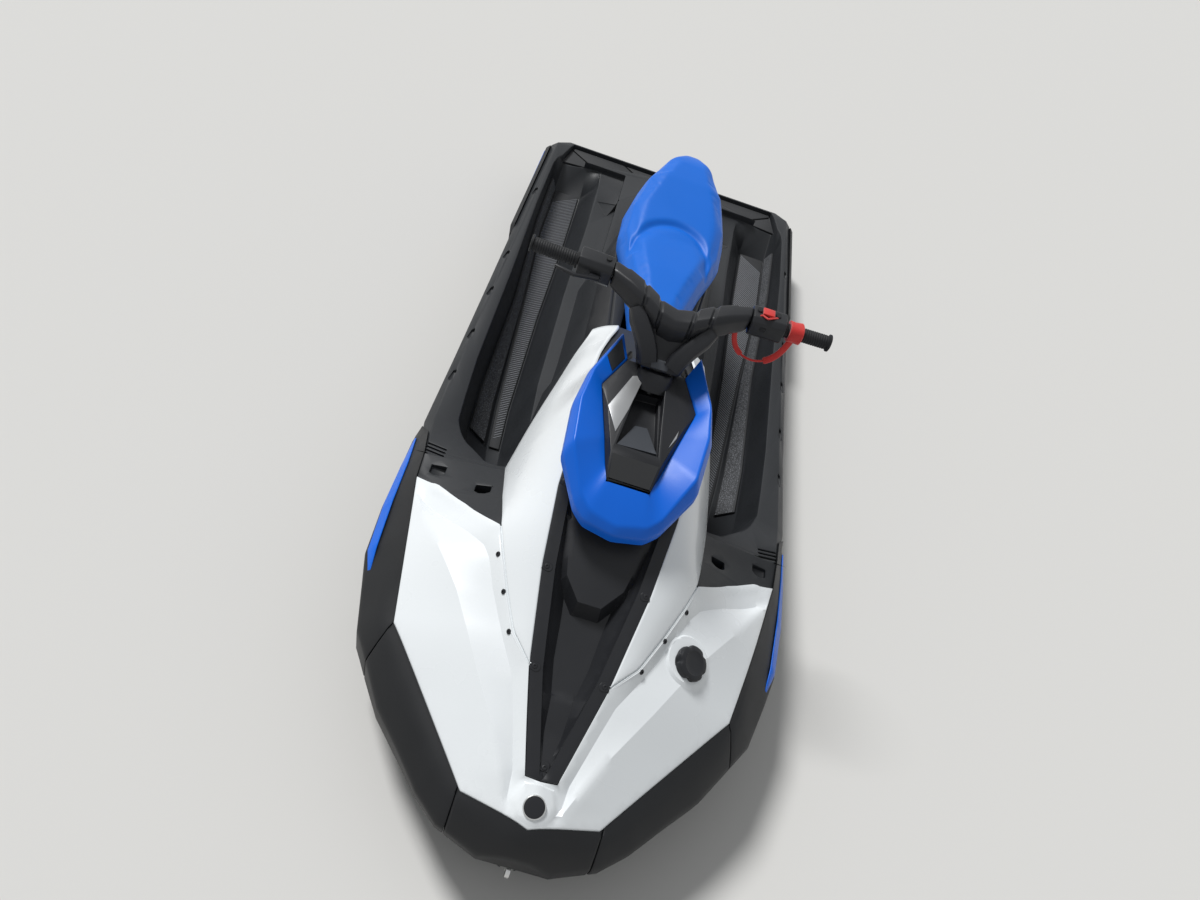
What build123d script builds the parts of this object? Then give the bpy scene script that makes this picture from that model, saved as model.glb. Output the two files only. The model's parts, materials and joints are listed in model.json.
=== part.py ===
from build123d import *
import os
from math import cos, radians, sin, tan

# A compact sit-down personal watercraft. Millimetres; +X is forward, +Y is port,
# z = 0 is the waterline, and the origin lies amidships on the plane of symmetry.

# How far a cutting block reaches past what it cuts: sideways, below, and at an end
CUT_REACH = 570.0
CUT_BELOW = 50.0
CUT_PAST = 10.0
OVERLAP = 1.0

# Hull
KEEL_FLAT = 20.0
CHINE_FLAT = 42.0
CHINE_DROP = 7.0
CHINE_SHARE = 0.85
TRANSOM_X = -1400.0
BOND_Z = 80.0
# x, half_bond, z_bond, half_chine, z_chine, z_keel
HULL = [
    (TRANSOM_X, 526.0, BOND_Z, 488.0, -50.0, -230.0),
    (-900.0, 526.0, BOND_Z, 494.0, -58.0, -260.0),
    (0.0, 524.0, 90.0, 486.0, -54.0, -268.0),
    (520.0, 526.0, 106.0, 458.0, -32.0, -268.0),
    (900.0, 516.0, 132.0, 400.0, 12.0, -252.0),
    (1112.0, 468.0, 148.0, 318.0, 46.0, -212.0),
    (1280.0, 360.0, 162.0, 214.0, 88.0, -138.0),
    (1438.0, 220.0, 176.0, 100.0, 138.0, -12.0),
    (1492.0, 150.0, 182.0, 52.0, 156.0, 84.0),
]

# Jet pump with its tunnel, intake, steering nozzle and reverse bucket
PUMP_Z = -92.0
PUMP_BORE_R = 74.0
PUMP_WALL = 9.0
PUMP_FRONT_X = -1130.0
PUMP_CONE_X = -1290.0
PUMP_TAIL_X = -1340.0
PUMP_REAR_X = -1385.0
PUMP_EXIT_R = 46.0
PUMP_TAIL_WALL = 6.0
TUNNEL_HALF = 118.0
TUNNEL_TOP_Z = 60.0
INTAKE_FRONT_X = -560.0
INTAKE_HALF = 82.0
INTAKE_LIP_Z = -200.0
INTAKE_ROOF = 60.0
GRATE_BARS = 5
GRATE_BAR_W = 7.0
GRATE_RAIL_W = 22.0
GRATE_T = 12.0
SHAFT_R = 14.0
SHAFT_CLEAR = 0.1
TAIL_SHAFT_R = 11.0
HUB_R = 30.0
HUB_NOSE_R = 20.0
IMPELLER_X = (-1145.0, -1218.0)
STATOR_X = (-1224.0, -1286.0)
BLADES = 4
BLADE_T = 4.0
BLADE_CHORD = 84.0
BLADE_ANGLE = 52.0
BLADE_CLEAR = 5.0
BLADE_SET = 5.0
TAIL_SHORT = 10.0
VANES = 6
VANE_T = 4.0
NOZZLE_PIVOT_X = -1392.0
NOZZLE_FRONT = 17.0
NOZZLE_REAR = 80.0
NOZZLE_IN_R = 66.0
NOZZLE_OUT_R = 44.0
NOZZLE_WALL = 5.0
PIVOT_R = 7.0
PIN_CLEAR = 0.05
EAR_T = 6.0
EAR_GAP = 2.0
EAR_W = 36.0
BUCKET_PIVOT = (-1345.0, -75.0)
BUCKET_R = 150.0
BUCKET_T = 7.0
BUCKET_HALF = 101.0
BUCKET_ARM_T = 9.0
BUCKET_HUB_R = 20.0
BUCKET_TOP_ANGLE = 116.0
BUCKET_LOW_ANGLE = 165.0
BRACKET_T = 10.0
BRACKET_ROOT = 20.0
BRACKET_BACK = 14.0
BRACKET_Z = (-24.0, 34.0)
PIN_PROUD = 6.0
RIDE_PLATE_HALF = 150.0
RIDE_PLATE_T = 8.0

# Engine bay, with the engine as one plain block
BAY_X = (-430.0, 230.0)
BAY_HALF = 150.0
BAY_FLOOR_Z = -180.0
BAY_TOP_Z = 320.0
HATCH_X = (-400.0, 20.0)
HATCH_HALF = 88.0
ENGINE_X = (-330.0, 130.0)
ENGINE_HALF = 125.0
ENGINE_HEIGHT = 350.0
END_GAP = 0.5

# Deck behind the front panels: x, half_top, z_top, half_side
STERN_X = -1480.0
GUNWALE = [
    (STERN_X, 476.0, 216.0, 500.0),
    (-1420.0, 524.0, 230.0, 550.0),
    (-700.0, 526.0, 256.0, 550.0),
    (100.0, 526.0, 280.0, 550.0),
    (430.0, 524.0, 304.0, 550.0),
    (610.0, 500.0, 358.0, 516.0),
]
GUNWALE_DROP = 24.0

# Footwells: x, y_floor_in, y_floor_out, y_wedge, y_rim, z_floor
WELL_WEDGE_RISE = 62.0
WELL_SHELF_IN = 62.0
WELL_SHELF_DROP = 28.0
WELL_MID = 205.0
WELL_RIM_LIFT = 10.0
WELL_SHELF_LIFT = 4.0
WELL = [
    (-1335.0, 372.0, 470.0, 496.0, 504.0, 204.0),
    (-1235.0, 362.0, 474.0, 500.0, 508.0, 108.0),
    (-900.0, 354.0, 468.0, 494.0, 506.0, 102.0),
    (-400.0, 352.0, 425.0, 460.0, 492.0, 96.0),
    (100.0, 338.0, 388.0, 454.0, 482.0, 98.0),
    (290.0, 324.0, 368.0, 440.0, 470.0, 104.0),
    (400.0, 314.0, 352.0, 425.0, 462.0, 124.0),
    (582.0, 306.0, 345.0, 395.0, 446.0, 368.0),
]
REAR_POCKET = [(-1120.0, 200.0), (-1096.0, 284.0), (-1008.0, 232.0)]
REAR_POCKET_Z = 212.0
WELL_TOP = 900.0
COWL_LIP = 12.0
COWL_REAR_X = 105.0
MAT_T = 8.0
MAT_EDGE = 6.0
MAT_WEDGE = (0.2, 0.94)
MAT_X = (-1235.0, 290.0)
PLATFORM_Z = 196.0
PLATFORM = [(-1400.0, 0.0), (-1390.0, 140.0), (-1347.0, 294.0), (-1322.0, 486.0), (-1466.0, 456.0)]
PLATFORM_MAT = [(-1405.0, 0.0), (-1395.0, 138.0), (-1353.0, 289.0), (-1329.0, 477.0), (-1461.0, 450.0)]
PLATFORM_SEAMS = [((-1380.0, 124.0), (-1480.0, 240.0)), ((-1330.0, 312.0), (-1480.0, 500.0))]
PLATFORM_GAP = 8.0

# Centre spine under seat and steering: x, y_top, z_top, y_low, z_low, y_foot
SEAT_BASE_Z = 496.0
SPINE_FOOT_Z = 100.0
SPINE_FOOT_LIFT = 8.0
SPINE = [
    (-1000.0, 60.0, 340.0, 84.0, 310.0, 140.0),
    (-900.0, 92.0, SEAT_BASE_Z, 116.0, 350.0, 230.0),
    (-450.0, 160.0, SEAT_BASE_Z, 196.0, 370.0, 300.0),
    (-20.0, 120.0, SEAT_BASE_Z, 184.0, 380.0, 300.0),
    (110.0, 108.0, SEAT_BASE_Z, 176.0, 420.0, 298.0),
    (140.0, 112.0, 600.0, 168.0, 560.0, 298.0),
    (380.0, 146.0, 668.0, 222.0, 520.0, 298.0),
    (610.0, 150.0, 690.0, 284.0, 386.0, 300.0),
]
SIDE_PANEL_X = (-860.0, 90.0)
SIDE_PANEL_Y = 60.0
SIDE_PANEL_Z = (392.0, 488.0)

# Front deck: x, z_mid, y_hood, z_hood, y_crease, z_crease, y_rail, z_rail, y_lip, z_lip
FRONT = [
    (610.0, 672.0, 150.0, 690.0, 284.0, 386.0, 504.0, 356.0, 562.0, 262.0),
    (750.0, 618.0, 146.0, 640.0, 268.0, 440.0, 494.0, 350.0, 564.0, 258.0),
    (900.0, 552.0, 138.0, 572.0, 246.0, 492.0, 476.0, 342.0, 556.0, 252.0),
    (1112.0, 454.0, 106.0, 470.0, 156.0, 450.0, 418.0, 318.0, 500.0, 240.0),
    (1280.0, 386.0, 70.0, 396.0, 96.0, 392.0, 300.0, 298.0, 392.0, 230.0),
    (1438.0, 336.0, 26.0, 332.0, 42.0, 328.0, 158.0, 284.0, 250.0, 222.0),
    (1492.0, 304.0, 16.0, 303.0, 30.0, 302.0, 60.0, 298.0, 186.0, 216.0),
    (1532.0, 240.0, 8.0, 239.0, 16.0, 239.0, 26.0, 239.0, 84.0, 214.0),
]
PANEL_T = 6.0
SEAM = 2.0
LIP_TUCK = 6.0

# Plan outlines of the front pieces on the port side, from bow to stern
HOOD_EDGE = [(1398.0, 0.0), (1394.0, 36.0), (1187.0, 94.0), (982.0, 132.0), (810.0, 150.0), (750.0, 150.0)]
CREASE_EDGE = [(1187.0, 94.0), (1124.0, 150.0), (1040.0, 190.0), (954.0, 226.0), (881.0, 251.0)]
COWL_EDGE = [(750.0, 268.0), (610.0, 284.0)]
RAIL_EDGE = [(1488.0, 0.0), (1438.0, 158.0), (1112.0, 418.0), (697.0, 498.0)]
RAIL_END = (610.0, 504.0)
BOW_SEAM_Y = 165.0
SHOULDER_SEAM = ((1080.0, 403.0), (1280.0, 499.0))

# Side bumpers and their stripes: x, y_rail, z_rail, y_lip, z_lip
BUMPER_START = [(455.0, 550.0, 288.0, 562.0, 240.0), (500.0, 522.0, 326.0, 562.0, 258.0)]
REAR_BUMPER = [
    (-1418.0, 550.0, 204.0, 560.0, 190.0),
    (-1395.0, 550.0, 220.0, 566.0, 202.0),
    (-730.0, 550.0, 242.0, 566.0, 224.0),
    (-690.0, 550.0, 222.0, 558.0, 208.0),
]
REAR_BUMPER_LOW = 138.0
STRIPE_T = 3.0
STRIPE_GAP = 0.6
# x, inner and outer edge as shares of the bumper face
FRONT_STRIPE = [
    (500.0, 0.70, 0.80),
    (610.0, 0.62, 0.92),
    (750.0, 0.60, 0.92),
    (900.0, 0.64, 0.90),
    (960.0, 0.76, 0.84),
]
REAR_STRIPE_X = (-1385.0, -900.0)
REAR_STRIPE_Z = (170.0, 192.0)
REAR_STRIPE_SET = 10.0

# Seat: x, half_base, half_wide, z_wide, half_top, z_top
SEAT_GAP = 0.3
SEAT_ROUND = 16.0
SEAT_SHOULDER = 0.7
SEAT = [
    (96.0, 52.0, 60.0, 540.0, 38.0, 592.0),
    (40.0, 64.0, 74.0, 546.0, 50.0, 616.0),
    (-180.0, 112.0, 124.0, 550.0, 84.0, 620.0),
    (-370.0, 168.0, 180.0, 546.0, 118.0, 612.0),
    (-500.0, 166.0, 180.0, 546.0, 120.0, 636.0),
    (-660.0, 128.0, 146.0, 560.0, 96.0, 664.0),
    (-800.0, 66.0, 88.0, 585.0, 58.0, 672.0),
    (-876.0, 24.0, 36.0, 610.0, 26.0, 650.0),
]

# Collar round the console: angle from the bow, r_out, z_out, r_ridge, z_ridge, r_in, z_in
COLLAR_X = 655.0
COLLAR_SKIRT = 24.0
COLLAR_DEPTH = 100.0
COLLAR = [
    (0.0, 272.0, 638.0, 259.0, 660.0, 177.0, 712.0),
    (16.0, 268.0, 643.0, 254.0, 668.0, 184.0, 712.0),
    (24.0, 256.0, 656.0, 241.0, 684.0, 152.0, 714.0),
    (50.0, 216.0, 710.0, 196.0, 748.0, 105.0, 732.0),
    (90.0, 176.0, 742.0, 162.0, 770.0, 99.0, 744.0),
    (122.0, 190.0, 760.0, 178.0, 786.0, 143.0, 760.0),
    (156.0, 262.0, 796.0, 254.0, 806.0, 187.0, 780.0),
]
CONSOLE_SLOPE = -0.187
CONSOLE_Z = 710.0
CONSOLE_DEPTH = 110.0
CONSOLE_TOP_SLOPE = -0.12
CONSOLE_TOP_Z = 744.0
CONSOLE_EDGE = [(835.0, 52.0), (578.0, 124.0), (452.0, 76.0)]
CONSOLE_TOP = [(770.0, 62.0), (640.0, 96.0), (500.0, 58.0)]
RECESS = [(748.0, 50.0), (510.0, 30.0)]
RECESS_Z = 738.0
DISPLAY_T = 3.0
DISPLAY_SHARE = (0.1, 0.9)
DISPLAY_EDGE = 4.0

# Steering: the axis leans aft, from its foot in the console
STEER_FOOT = (500.0, 770.0)
STEER_TOP = (440.0, 884.0)
STEER_SHAFT_R = 19.0
STEER_CLEAR = 0.1
STEER_SOCKET = 60.0
STEER_END = 10.0
STEM_GAP = 6.0
STEM_SWEEP_R = 78.0
BOSS_R = 36.0
BOSS_H = 14.0
STEM_BASE = (118.0, 70.0)
STEM_TOP = (196.0, 60.0)
STEM_HIGH = 128.0
BAR_R = 11.0
BAR_MID = (440.0, 884.0)
ELBOW = (377.0, 173.0, 934.0)
BAR_TIP = (370.0, 390.0, 936.0)
GRIP_R = 18.0
GRIP_START_Y = 272.0
HOUSING_Y = (180.0, 266.0)
HOUSING = (68.0, 60.0)
HOUSING_CHAMFER = 12.0
LEVER_Y = 202.0
LEVER_T = 8.0
LEVER = [(16.0, 202.0), (50.0, 206.0), (64.0, 266.0), (50.0, 318.0),
         (42.0, 316.0), (54.0, 264.0), (44.0, 232.0), (16.0, 232.0)]
KEY_Y = 216.0
KEY = (26.0, 30.0, 7.0)
PAD_CHAMFER = 12.0
# y, x, z, width, height
PAD = [
    (44.0, 432.0, 892.0, 82.0, 72.0),
    (96.0, 407.0, 911.0, 76.0, 66.0),
    (140.0, 390.0, 924.0, 68.0, 60.0),
    (178.0, 378.0, 933.0, 60.0, 54.0),
]
WRAP_Y = (280.0, 312.0)
WRAP_T = 4.0
CORD_R = 3.0
BEND_SHARE = 0.45
LANYARD = [(373.0, 298.0, 914.0), (384.0, 291.0, 880.0), (400.0, 263.0, 846.0), (406.0, 221.0, 834.0),
           (402.0, 181.0, 846.0), (390.0, 159.0, 874.0), (384.0, 153.0, 910.0)]

# Fuel filler and eyes
CAP_AT = (1050.0, 268.0)
CAP_R = 44.0
CAP_H = 24.0
CAP_DECK_Z = 418.0
CAP_AXIS = (0.24, 0.46, 0.86)
CAP_NOTCHES = 12
CAP_NOTCH_R = 5.0
CAP_NOTCH_SPAN = (0.4, 1.2)
EYE_BORE_R = 9.0
EYE_LUG_R = 17.0
EYE_LUG_T = 10.0
EYE_PLATE = (56.0, 30.0, 5.0)
BOW_EYE_Z = 126.0
STERN_EYE = (310.0, 40.0)


def station_wire(x, half):
    """A closed mirrored section at x from its half outline, listed top to bottom."""
    port = [(x, y, z) for y, z in half]
    starboard = [(x, -y, z) for y, z in reversed(half) if y > 0.0]
    return Wire.make_polygon(port + starboard, close=True)


def mirrored_loft(stations):
    """A ruled solid through mirrored sections, each given as (x, half outline)."""
    return Solid.make_loft([station_wire(x, half) for x, half in stations], ruled=True)


def side_loft(stations):
    """A ruled solid through closed sections on one side, each given as (x, outline)."""
    wires = [Wire.make_polygon([(x, y, z) for y, z in outline], close=True) for x, outline in stations]
    return Solid.make_loft(wires, ruled=True)


def prism(outline, low, high):
    """An upright solid over a plan outline."""
    face = Face(Wire.make_polygon([(x, y, low) for x, y in outline], close=True))
    return Solid.extrude(face, Vector(0, 0, high - low))


def profile(outline, y0, y1):
    """A solid with one side outline (x, z) from y0 to y1."""
    face = Face(Wire.make_polygon([(x, y0, z) for x, z in outline], close=True))
    return Solid.extrude(face, Vector(0, y1 - y0, 0))


def block(x0, x1, y0, y1, z0, z1):
    """A box between two corners."""
    return Pos((x0 + x1) / 2, (y0 + y1) / 2, (z0 + z1) / 2) * Box(abs(x1 - x0), abs(y1 - y0), abs(z1 - z0))


def rod(start, end, radius):
    """A round bar between two points."""
    axis = Vector(*end) - Vector(*start)
    return Solid.make_cylinder(radius, axis.length, Plane(origin=Vector(*start), z_dir=axis))


def cone(start, end, r_start, r_end):
    """A tapered round bar between two points."""
    axis = Vector(*end) - Vector(*start)
    return Solid.make_cone(r_start, r_end, axis.length, Plane(origin=Vector(*start), z_dir=axis))


def twin(shape):
    """A piece on the port side and its mirror image to starboard."""
    return [shape, mirror(shape, about=Plane.XZ)]


def whole(outline):
    """A mirrored plan outline from its port half, given from bow to stern."""
    return outline + [(x, -y) for x, y in reversed(outline) if y > 0.0]


def at(table, x, column):
    """The value of one column at x, straight between the stations."""
    x = min(max(x, table[0][0]), table[-1][0])
    for low, high in zip(table, table[1:]):
        if low[0] <= x <= high[0]:
            share = (x - low[0]) / (high[0] - low[0])
            return low[column] + share * (high[column] - low[column])


def save(name, shape):
    os.makedirs("parts", exist_ok=True)
    solids = shape.solids() if not isinstance(shape, list) else [s for one in shape for s in one.solids()]
    out = solids[0] if len(solids) == 1 else Compound(children=solids)
    out.label = name
    export_step(out, f"parts/{name}.step")


def bond_at(x):
    """Height of the flat joint between hull and deck."""
    return at(HULL, x, 2)


# The hull and what is bolted into it

def hull_half(row, lift=0.0):
    """One section of the hull: bond line, chine, inner chine, keel flat."""
    x, half_bond, z_bond, half_chine, z_chine, z_keel = row
    inner = max(half_chine - CHINE_FLAT, CHINE_SHARE * half_chine)
    return x, [
        (half_bond, z_bond + lift),
        (half_chine, z_chine + lift),
        (inner, z_chine - CHINE_DROP + lift),
        (KEEL_FLAT, z_keel + lift),
    ]


def ride_plate_z():
    return PUMP_Z - PUMP_BORE_R - PUMP_WALL


def hull_parts():
    body = mirrored_loft([hull_half(row) for row in HULL])
    lifted = mirrored_loft([hull_half(row, GRATE_T) for row in HULL])
    low_z = min(row[5] for row in HULL) - CUT_BELOW
    tunnel = block(TRANSOM_X - CUT_PAST, PUMP_FRONT_X, -TUNNEL_HALF, TUNNEL_HALF, low_z, TUNNEL_TOP_Z)
    plate_slot = block(TRANSOM_X - CUT_PAST, PUMP_FRONT_X, -RIDE_PLATE_HALF, RIDE_PLATE_HALF,
                       low_z, ride_plate_z())
    top_z = PUMP_Z + PUMP_BORE_R
    intake = profile(
        [(PUMP_FRONT_X, top_z), (PUMP_FRONT_X + INTAKE_ROOF, top_z), (INTAKE_FRONT_X, INTAKE_LIP_Z),
         (INTAKE_FRONT_X, low_z), (PUMP_FRONT_X, low_z)],
        -INTAKE_HALF, INTAKE_HALF)
    bay = block(*BAY_X, -BAY_HALF, BAY_HALF, BAY_FLOOR_Z, BAY_TOP_Z)
    shaft_bore = rod((PUMP_FRONT_X, 0, PUMP_Z), (BAY_X[0] + OVERLAP, 0, PUMP_Z), SHAFT_R + SHAFT_CLEAR)
    hull = body - tunnel - plate_slot - intake - bay - shaft_bore
    skin = body - lifted
    bars = None
    pitch = 2.0 * INTAKE_HALF / GRATE_BARS
    for number in range(GRATE_BARS):
        y = (number - (GRATE_BARS - 1) / 2) * pitch
        bar = block(PUMP_FRONT_X, INTAKE_FRONT_X, y - GRATE_BAR_W / 2, y + GRATE_BAR_W / 2, low_z, 0.0)
        bars = bar if bars is None else bars + bar
    for x in (PUMP_FRONT_X, INTAKE_FRONT_X - GRATE_RAIL_W):
        bars = bars + block(x, x + GRATE_RAIL_W, -INTAKE_HALF, INTAKE_HALF, low_z, 0.0)
    grate = bars & skin
    plate = block(TRANSOM_X, PUMP_FRONT_X, -RIDE_PLATE_HALF, RIDE_PLATE_HALF,
                  ride_plate_z() - RIDE_PLATE_T, ride_plate_z())
    engine = block(*ENGINE_X, -ENGINE_HALF, ENGINE_HALF, BAY_FLOOR_Z, BAY_FLOOR_Z + ENGINE_HEIGHT)
    save("hull", hull)
    save("intake_grate", grate)
    save("ride_plate", plate)
    save("engine", engine)


def eye():
    """A drilled towing lug on its plate, standing out along +Z at the origin."""
    width, height, thick = EYE_PLATE
    plate = Pos(0, 0, thick / 2) * Box(width, height, thick)
    half = EYE_LUG_T / 2
    lug = block(-EYE_LUG_R, EYE_LUG_R, -half, half, 0.0, EYE_LUG_R)
    lug += rod((0, -half, EYE_LUG_R), (0, half, EYE_LUG_R), EYE_LUG_R)
    return plate + lug - rod((0, -half, EYE_LUG_R), (0, half, EYE_LUG_R), EYE_BORE_R)


def eye_parts():
    bow_x = HULL[-1][0]
    bow = Plane(origin=(bow_x, 0, BOW_EYE_Z), x_dir=(0, 0, 1), z_dir=(1, 0, 0)).location * eye()
    y, z = STERN_EYE
    stern = Plane(origin=(TRANSOM_X, y, z), x_dir=(0, 1, 0), z_dir=(-1, 0, 0)).location * eye()
    save("bow_eye", bow)
    save("stern_eyes", twin(stern))


# The jet drive

def ring(x0, x1, r0, r1, wall0, wall1):
    """A round tapered tube along the pump axis with its two bores and walls."""
    a, b = (x0, 0, PUMP_Z), (x1, 0, PUMP_Z)
    if r0 == r1 and wall0 == wall1:
        return rod(a, b, r0 + wall0) - rod(a, b, r0)
    return cone(a, b, r0 + wall0, r1 + wall1) - cone(a, b, r0, r1)


def pump_parts():
    housing = ring(PUMP_FRONT_X, PUMP_CONE_X, PUMP_BORE_R, PUMP_BORE_R, PUMP_WALL, PUMP_WALL)
    housing += ring(PUMP_CONE_X, PUMP_TAIL_X, PUMP_BORE_R, PUMP_EXIT_R, PUMP_WALL, PUMP_TAIL_WALL)
    housing += ring(PUMP_TAIL_X, PUMP_REAR_X, PUMP_EXIT_R, PUMP_EXIT_R, PUMP_TAIL_WALL, PUMP_TAIL_WALL)
    hub = rod((STATOR_X[0], 0, PUMP_Z), (STATOR_X[1], 0, PUMP_Z), HUB_R)
    hub += cone((STATOR_X[1], 0, PUMP_Z), (PUMP_TAIL_X, 0, PUMP_Z), HUB_R, HUB_NOSE_R)
    reach = PUMP_BORE_R + PUMP_WALL / 2
    for number in range(VANES):
        vane = block(STATOR_X[0], STATOR_X[1], -VANE_T / 2, VANE_T / 2, 0.0, reach)
        hub += Pos(0, 0, PUMP_Z) * Rot(360.0 * number / VANES, 0, 0) * vane
    housing += hub
    housing -= rod((STATOR_X[0], 0, PUMP_Z), (PUMP_CONE_X, 0, PUMP_Z), TAIL_SHAFT_R + SHAFT_CLEAR)
    ear_x0 = NOZZLE_PIVOT_X - EAR_W / 2
    ear_low = NOZZLE_IN_R + NOZZLE_WALL + EAR_GAP
    for side in (-1, 1):
        z0 = PUMP_Z + side * ear_low
        ear = block(ear_x0, PUMP_CONE_X + BRACKET_ROOT, -EAR_W / 2, EAR_W / 2, z0, z0 + side * EAR_T)
        ear -= rod((NOZZLE_PIVOT_X, 0, z0), (NOZZLE_PIVOT_X, 0, z0 + side * EAR_T), PIVOT_R + PIN_CLEAR)
        housing += ear
    pivot_x, pivot_z = BUCKET_PIVOT
    reach = BRACKET_T + BUCKET_ARM_T + PIN_PROUD
    bracket_in = PUMP_BORE_R + PUMP_WALL - BRACKET_T / 2
    for side in (-1, 1):
        y0 = side * bracket_in
        y1 = y0 + side * BRACKET_T
        bracket = block(PUMP_CONE_X + BRACKET_ROOT, pivot_x - BRACKET_BACK, y0, y1,
                        PUMP_Z + BRACKET_Z[0], PUMP_Z + BRACKET_Z[1])
        pin = rod((pivot_x, y1 - side, pivot_z), (pivot_x, y0 + side * reach, pivot_z), PIVOT_R)
        housing += bracket + pin
    save("pump_housing", housing)

    impeller = rod((IMPELLER_X[0], 0, PUMP_Z), (IMPELLER_X[1], 0, PUMP_Z), HUB_R)
    trim = rod((IMPELLER_X[0] + BLADE_SET, 0, PUMP_Z), (IMPELLER_X[1], 0, PUMP_Z), PUMP_BORE_R - BLADE_CLEAR)
    mid_x = (IMPELLER_X[0] + IMPELLER_X[1]) / 2
    for number in range(BLADES):
        blade = Pos(0, 0, PUMP_BORE_R / 2 + HUB_R / 2) * Box(BLADE_CHORD, BLADE_T, PUMP_BORE_R)
        blade = Pos(mid_x, 0, PUMP_Z) * Rot(360.0 * number / BLADES, 0, 0) * (Rot(0, 0, BLADE_ANGLE) * blade)
        impeller += blade & trim
    impeller += rod((IMPELLER_X[0], 0, PUMP_Z), (ENGINE_X[0] - END_GAP, 0, PUMP_Z), SHAFT_R)
    impeller += rod((IMPELLER_X[1], 0, PUMP_Z), (STATOR_X[1] + TAIL_SHORT, 0, PUMP_Z), TAIL_SHAFT_R)
    save("impeller", impeller)

    front, rear = NOZZLE_PIVOT_X + NOZZLE_FRONT, NOZZLE_PIVOT_X - NOZZLE_REAR
    nozzle = ring(front, rear, NOZZLE_IN_R, NOZZLE_OUT_R, NOZZLE_WALL, NOZZLE_WALL)
    for side in (-1, 1):
        root = PUMP_Z + side * (NOZZLE_IN_R + NOZZLE_WALL / 2)
        shoulder = PUMP_Z + side * (ear_low - EAR_GAP / 2)
        tip = PUMP_Z + side * (ear_low + EAR_T)
        boss = rod((NOZZLE_PIVOT_X, 0, root), (NOZZLE_PIVOT_X, 0, shoulder), 2 * PIVOT_R)
        boss -= rod((front, 0, PUMP_Z), (rear, 0, PUMP_Z), NOZZLE_IN_R - NOZZLE_WALL)
        nozzle += boss + rod((NOZZLE_PIVOT_X, 0, root), (NOZZLE_PIVOT_X, 0, tip), PIVOT_R)
    save("steering_nozzle", nozzle)

    shell = rod((pivot_x, -BUCKET_HALF, pivot_z), (pivot_x, BUCKET_HALF, pivot_z), BUCKET_R + BUCKET_T)
    inside = BUCKET_HALF - BUCKET_ARM_T
    shell -= rod((pivot_x, -inside, pivot_z), (pivot_x, inside, pivot_z), BUCKET_R)
    far = 2 * BUCKET_R
    low, high = radians(BUCKET_LOW_ANGLE), radians(BUCKET_TOP_ANGLE)
    sector = [(pivot_x, pivot_z), (pivot_x + far * cos(low), pivot_z + far * sin(low)),
              (pivot_x - far, pivot_z + far), (pivot_x + far * cos(high), pivot_z + far * sin(high))]
    bucket = shell & profile(sector, -far, far)
    for side in (-1, 1):
        y0, y1 = side * inside, side * BUCKET_HALF
        bucket += rod((pivot_x, y0, pivot_z), (pivot_x, y1, pivot_z), BUCKET_HUB_R)
    for side in (-1, 1):
        bucket -= rod((pivot_x, 0, pivot_z), (pivot_x, side * far, pivot_z), PIVOT_R + PIN_CLEAR)
    save("reverse_bucket", bucket)


# The deck

def front_half(row, skin):
    """One front section, moved out by the skin."""
    x, z_mid, y_hood, z_hood, y_crease, z_crease, y_rail, z_rail, y_lip, z_lip = row
    return x, [
        (0.0, z_mid + skin),
        (y_hood + 0.5 * skin, z_hood + skin),
        (y_crease + 0.5 * skin, z_crease + skin),
        (y_rail, z_rail + skin),
        (y_lip, z_lip),
        (y_lip - LIP_TUCK, bond_at(x)),
    ]


def spine_half(row, skin):
    """One section of the centre spine, moved out by the skin."""
    x, y_top, z_top, y_low, z_low, y_foot = row
    z_foot = max(SPINE_FOOT_Z, bond_at(x) + SPINE_FOOT_LIFT)
    return x, [
        (0.0, z_top + skin),
        (y_top + skin, z_top + skin),
        (y_low + skin, z_low),
        (y_foot + skin, z_foot),
    ]


def well(side):
    """The space of one footwell."""
    rows = []
    for x, y_in, y_out, y_wedge, y_rim, z_floor in WELL:
        z_rim = max(at(GUNWALE, x, 2), z_floor + WELL_WEDGE_RISE + WELL_RIM_LIFT)
        z_shelf = max(at(GUNWALE, x, 2) - WELL_SHELF_DROP, z_floor + WELL_SHELF_LIFT)
        outline = [(y_in, z_floor), (y_out, z_floor), (y_wedge, z_floor + WELL_WEDGE_RISE),
                   (y_rim, z_rim + WELL_RIM_LIFT), (y_rim, WELL_TOP), (WELL_MID, WELL_TOP),
                   (WELL_MID, z_shelf), (y_in - WELL_SHELF_IN, z_shelf)]
        rows.append((x, [(side * y, z) for y, z in outline]))
    return side_loft(rows)


def deck_masters():
    core = mirrored_loft([front_half(row, 0.0) for row in FRONT])
    outer = mirrored_loft([front_half(row, PANEL_T) for row in FRONT])
    spine = mirrored_loft([spine_half(row, 0.0) for row in SPINE])
    spine_outer = mirrored_loft([spine_half(row, PANEL_T) for row in SPINE])
    return core, outer, spine, spine_outer


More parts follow.
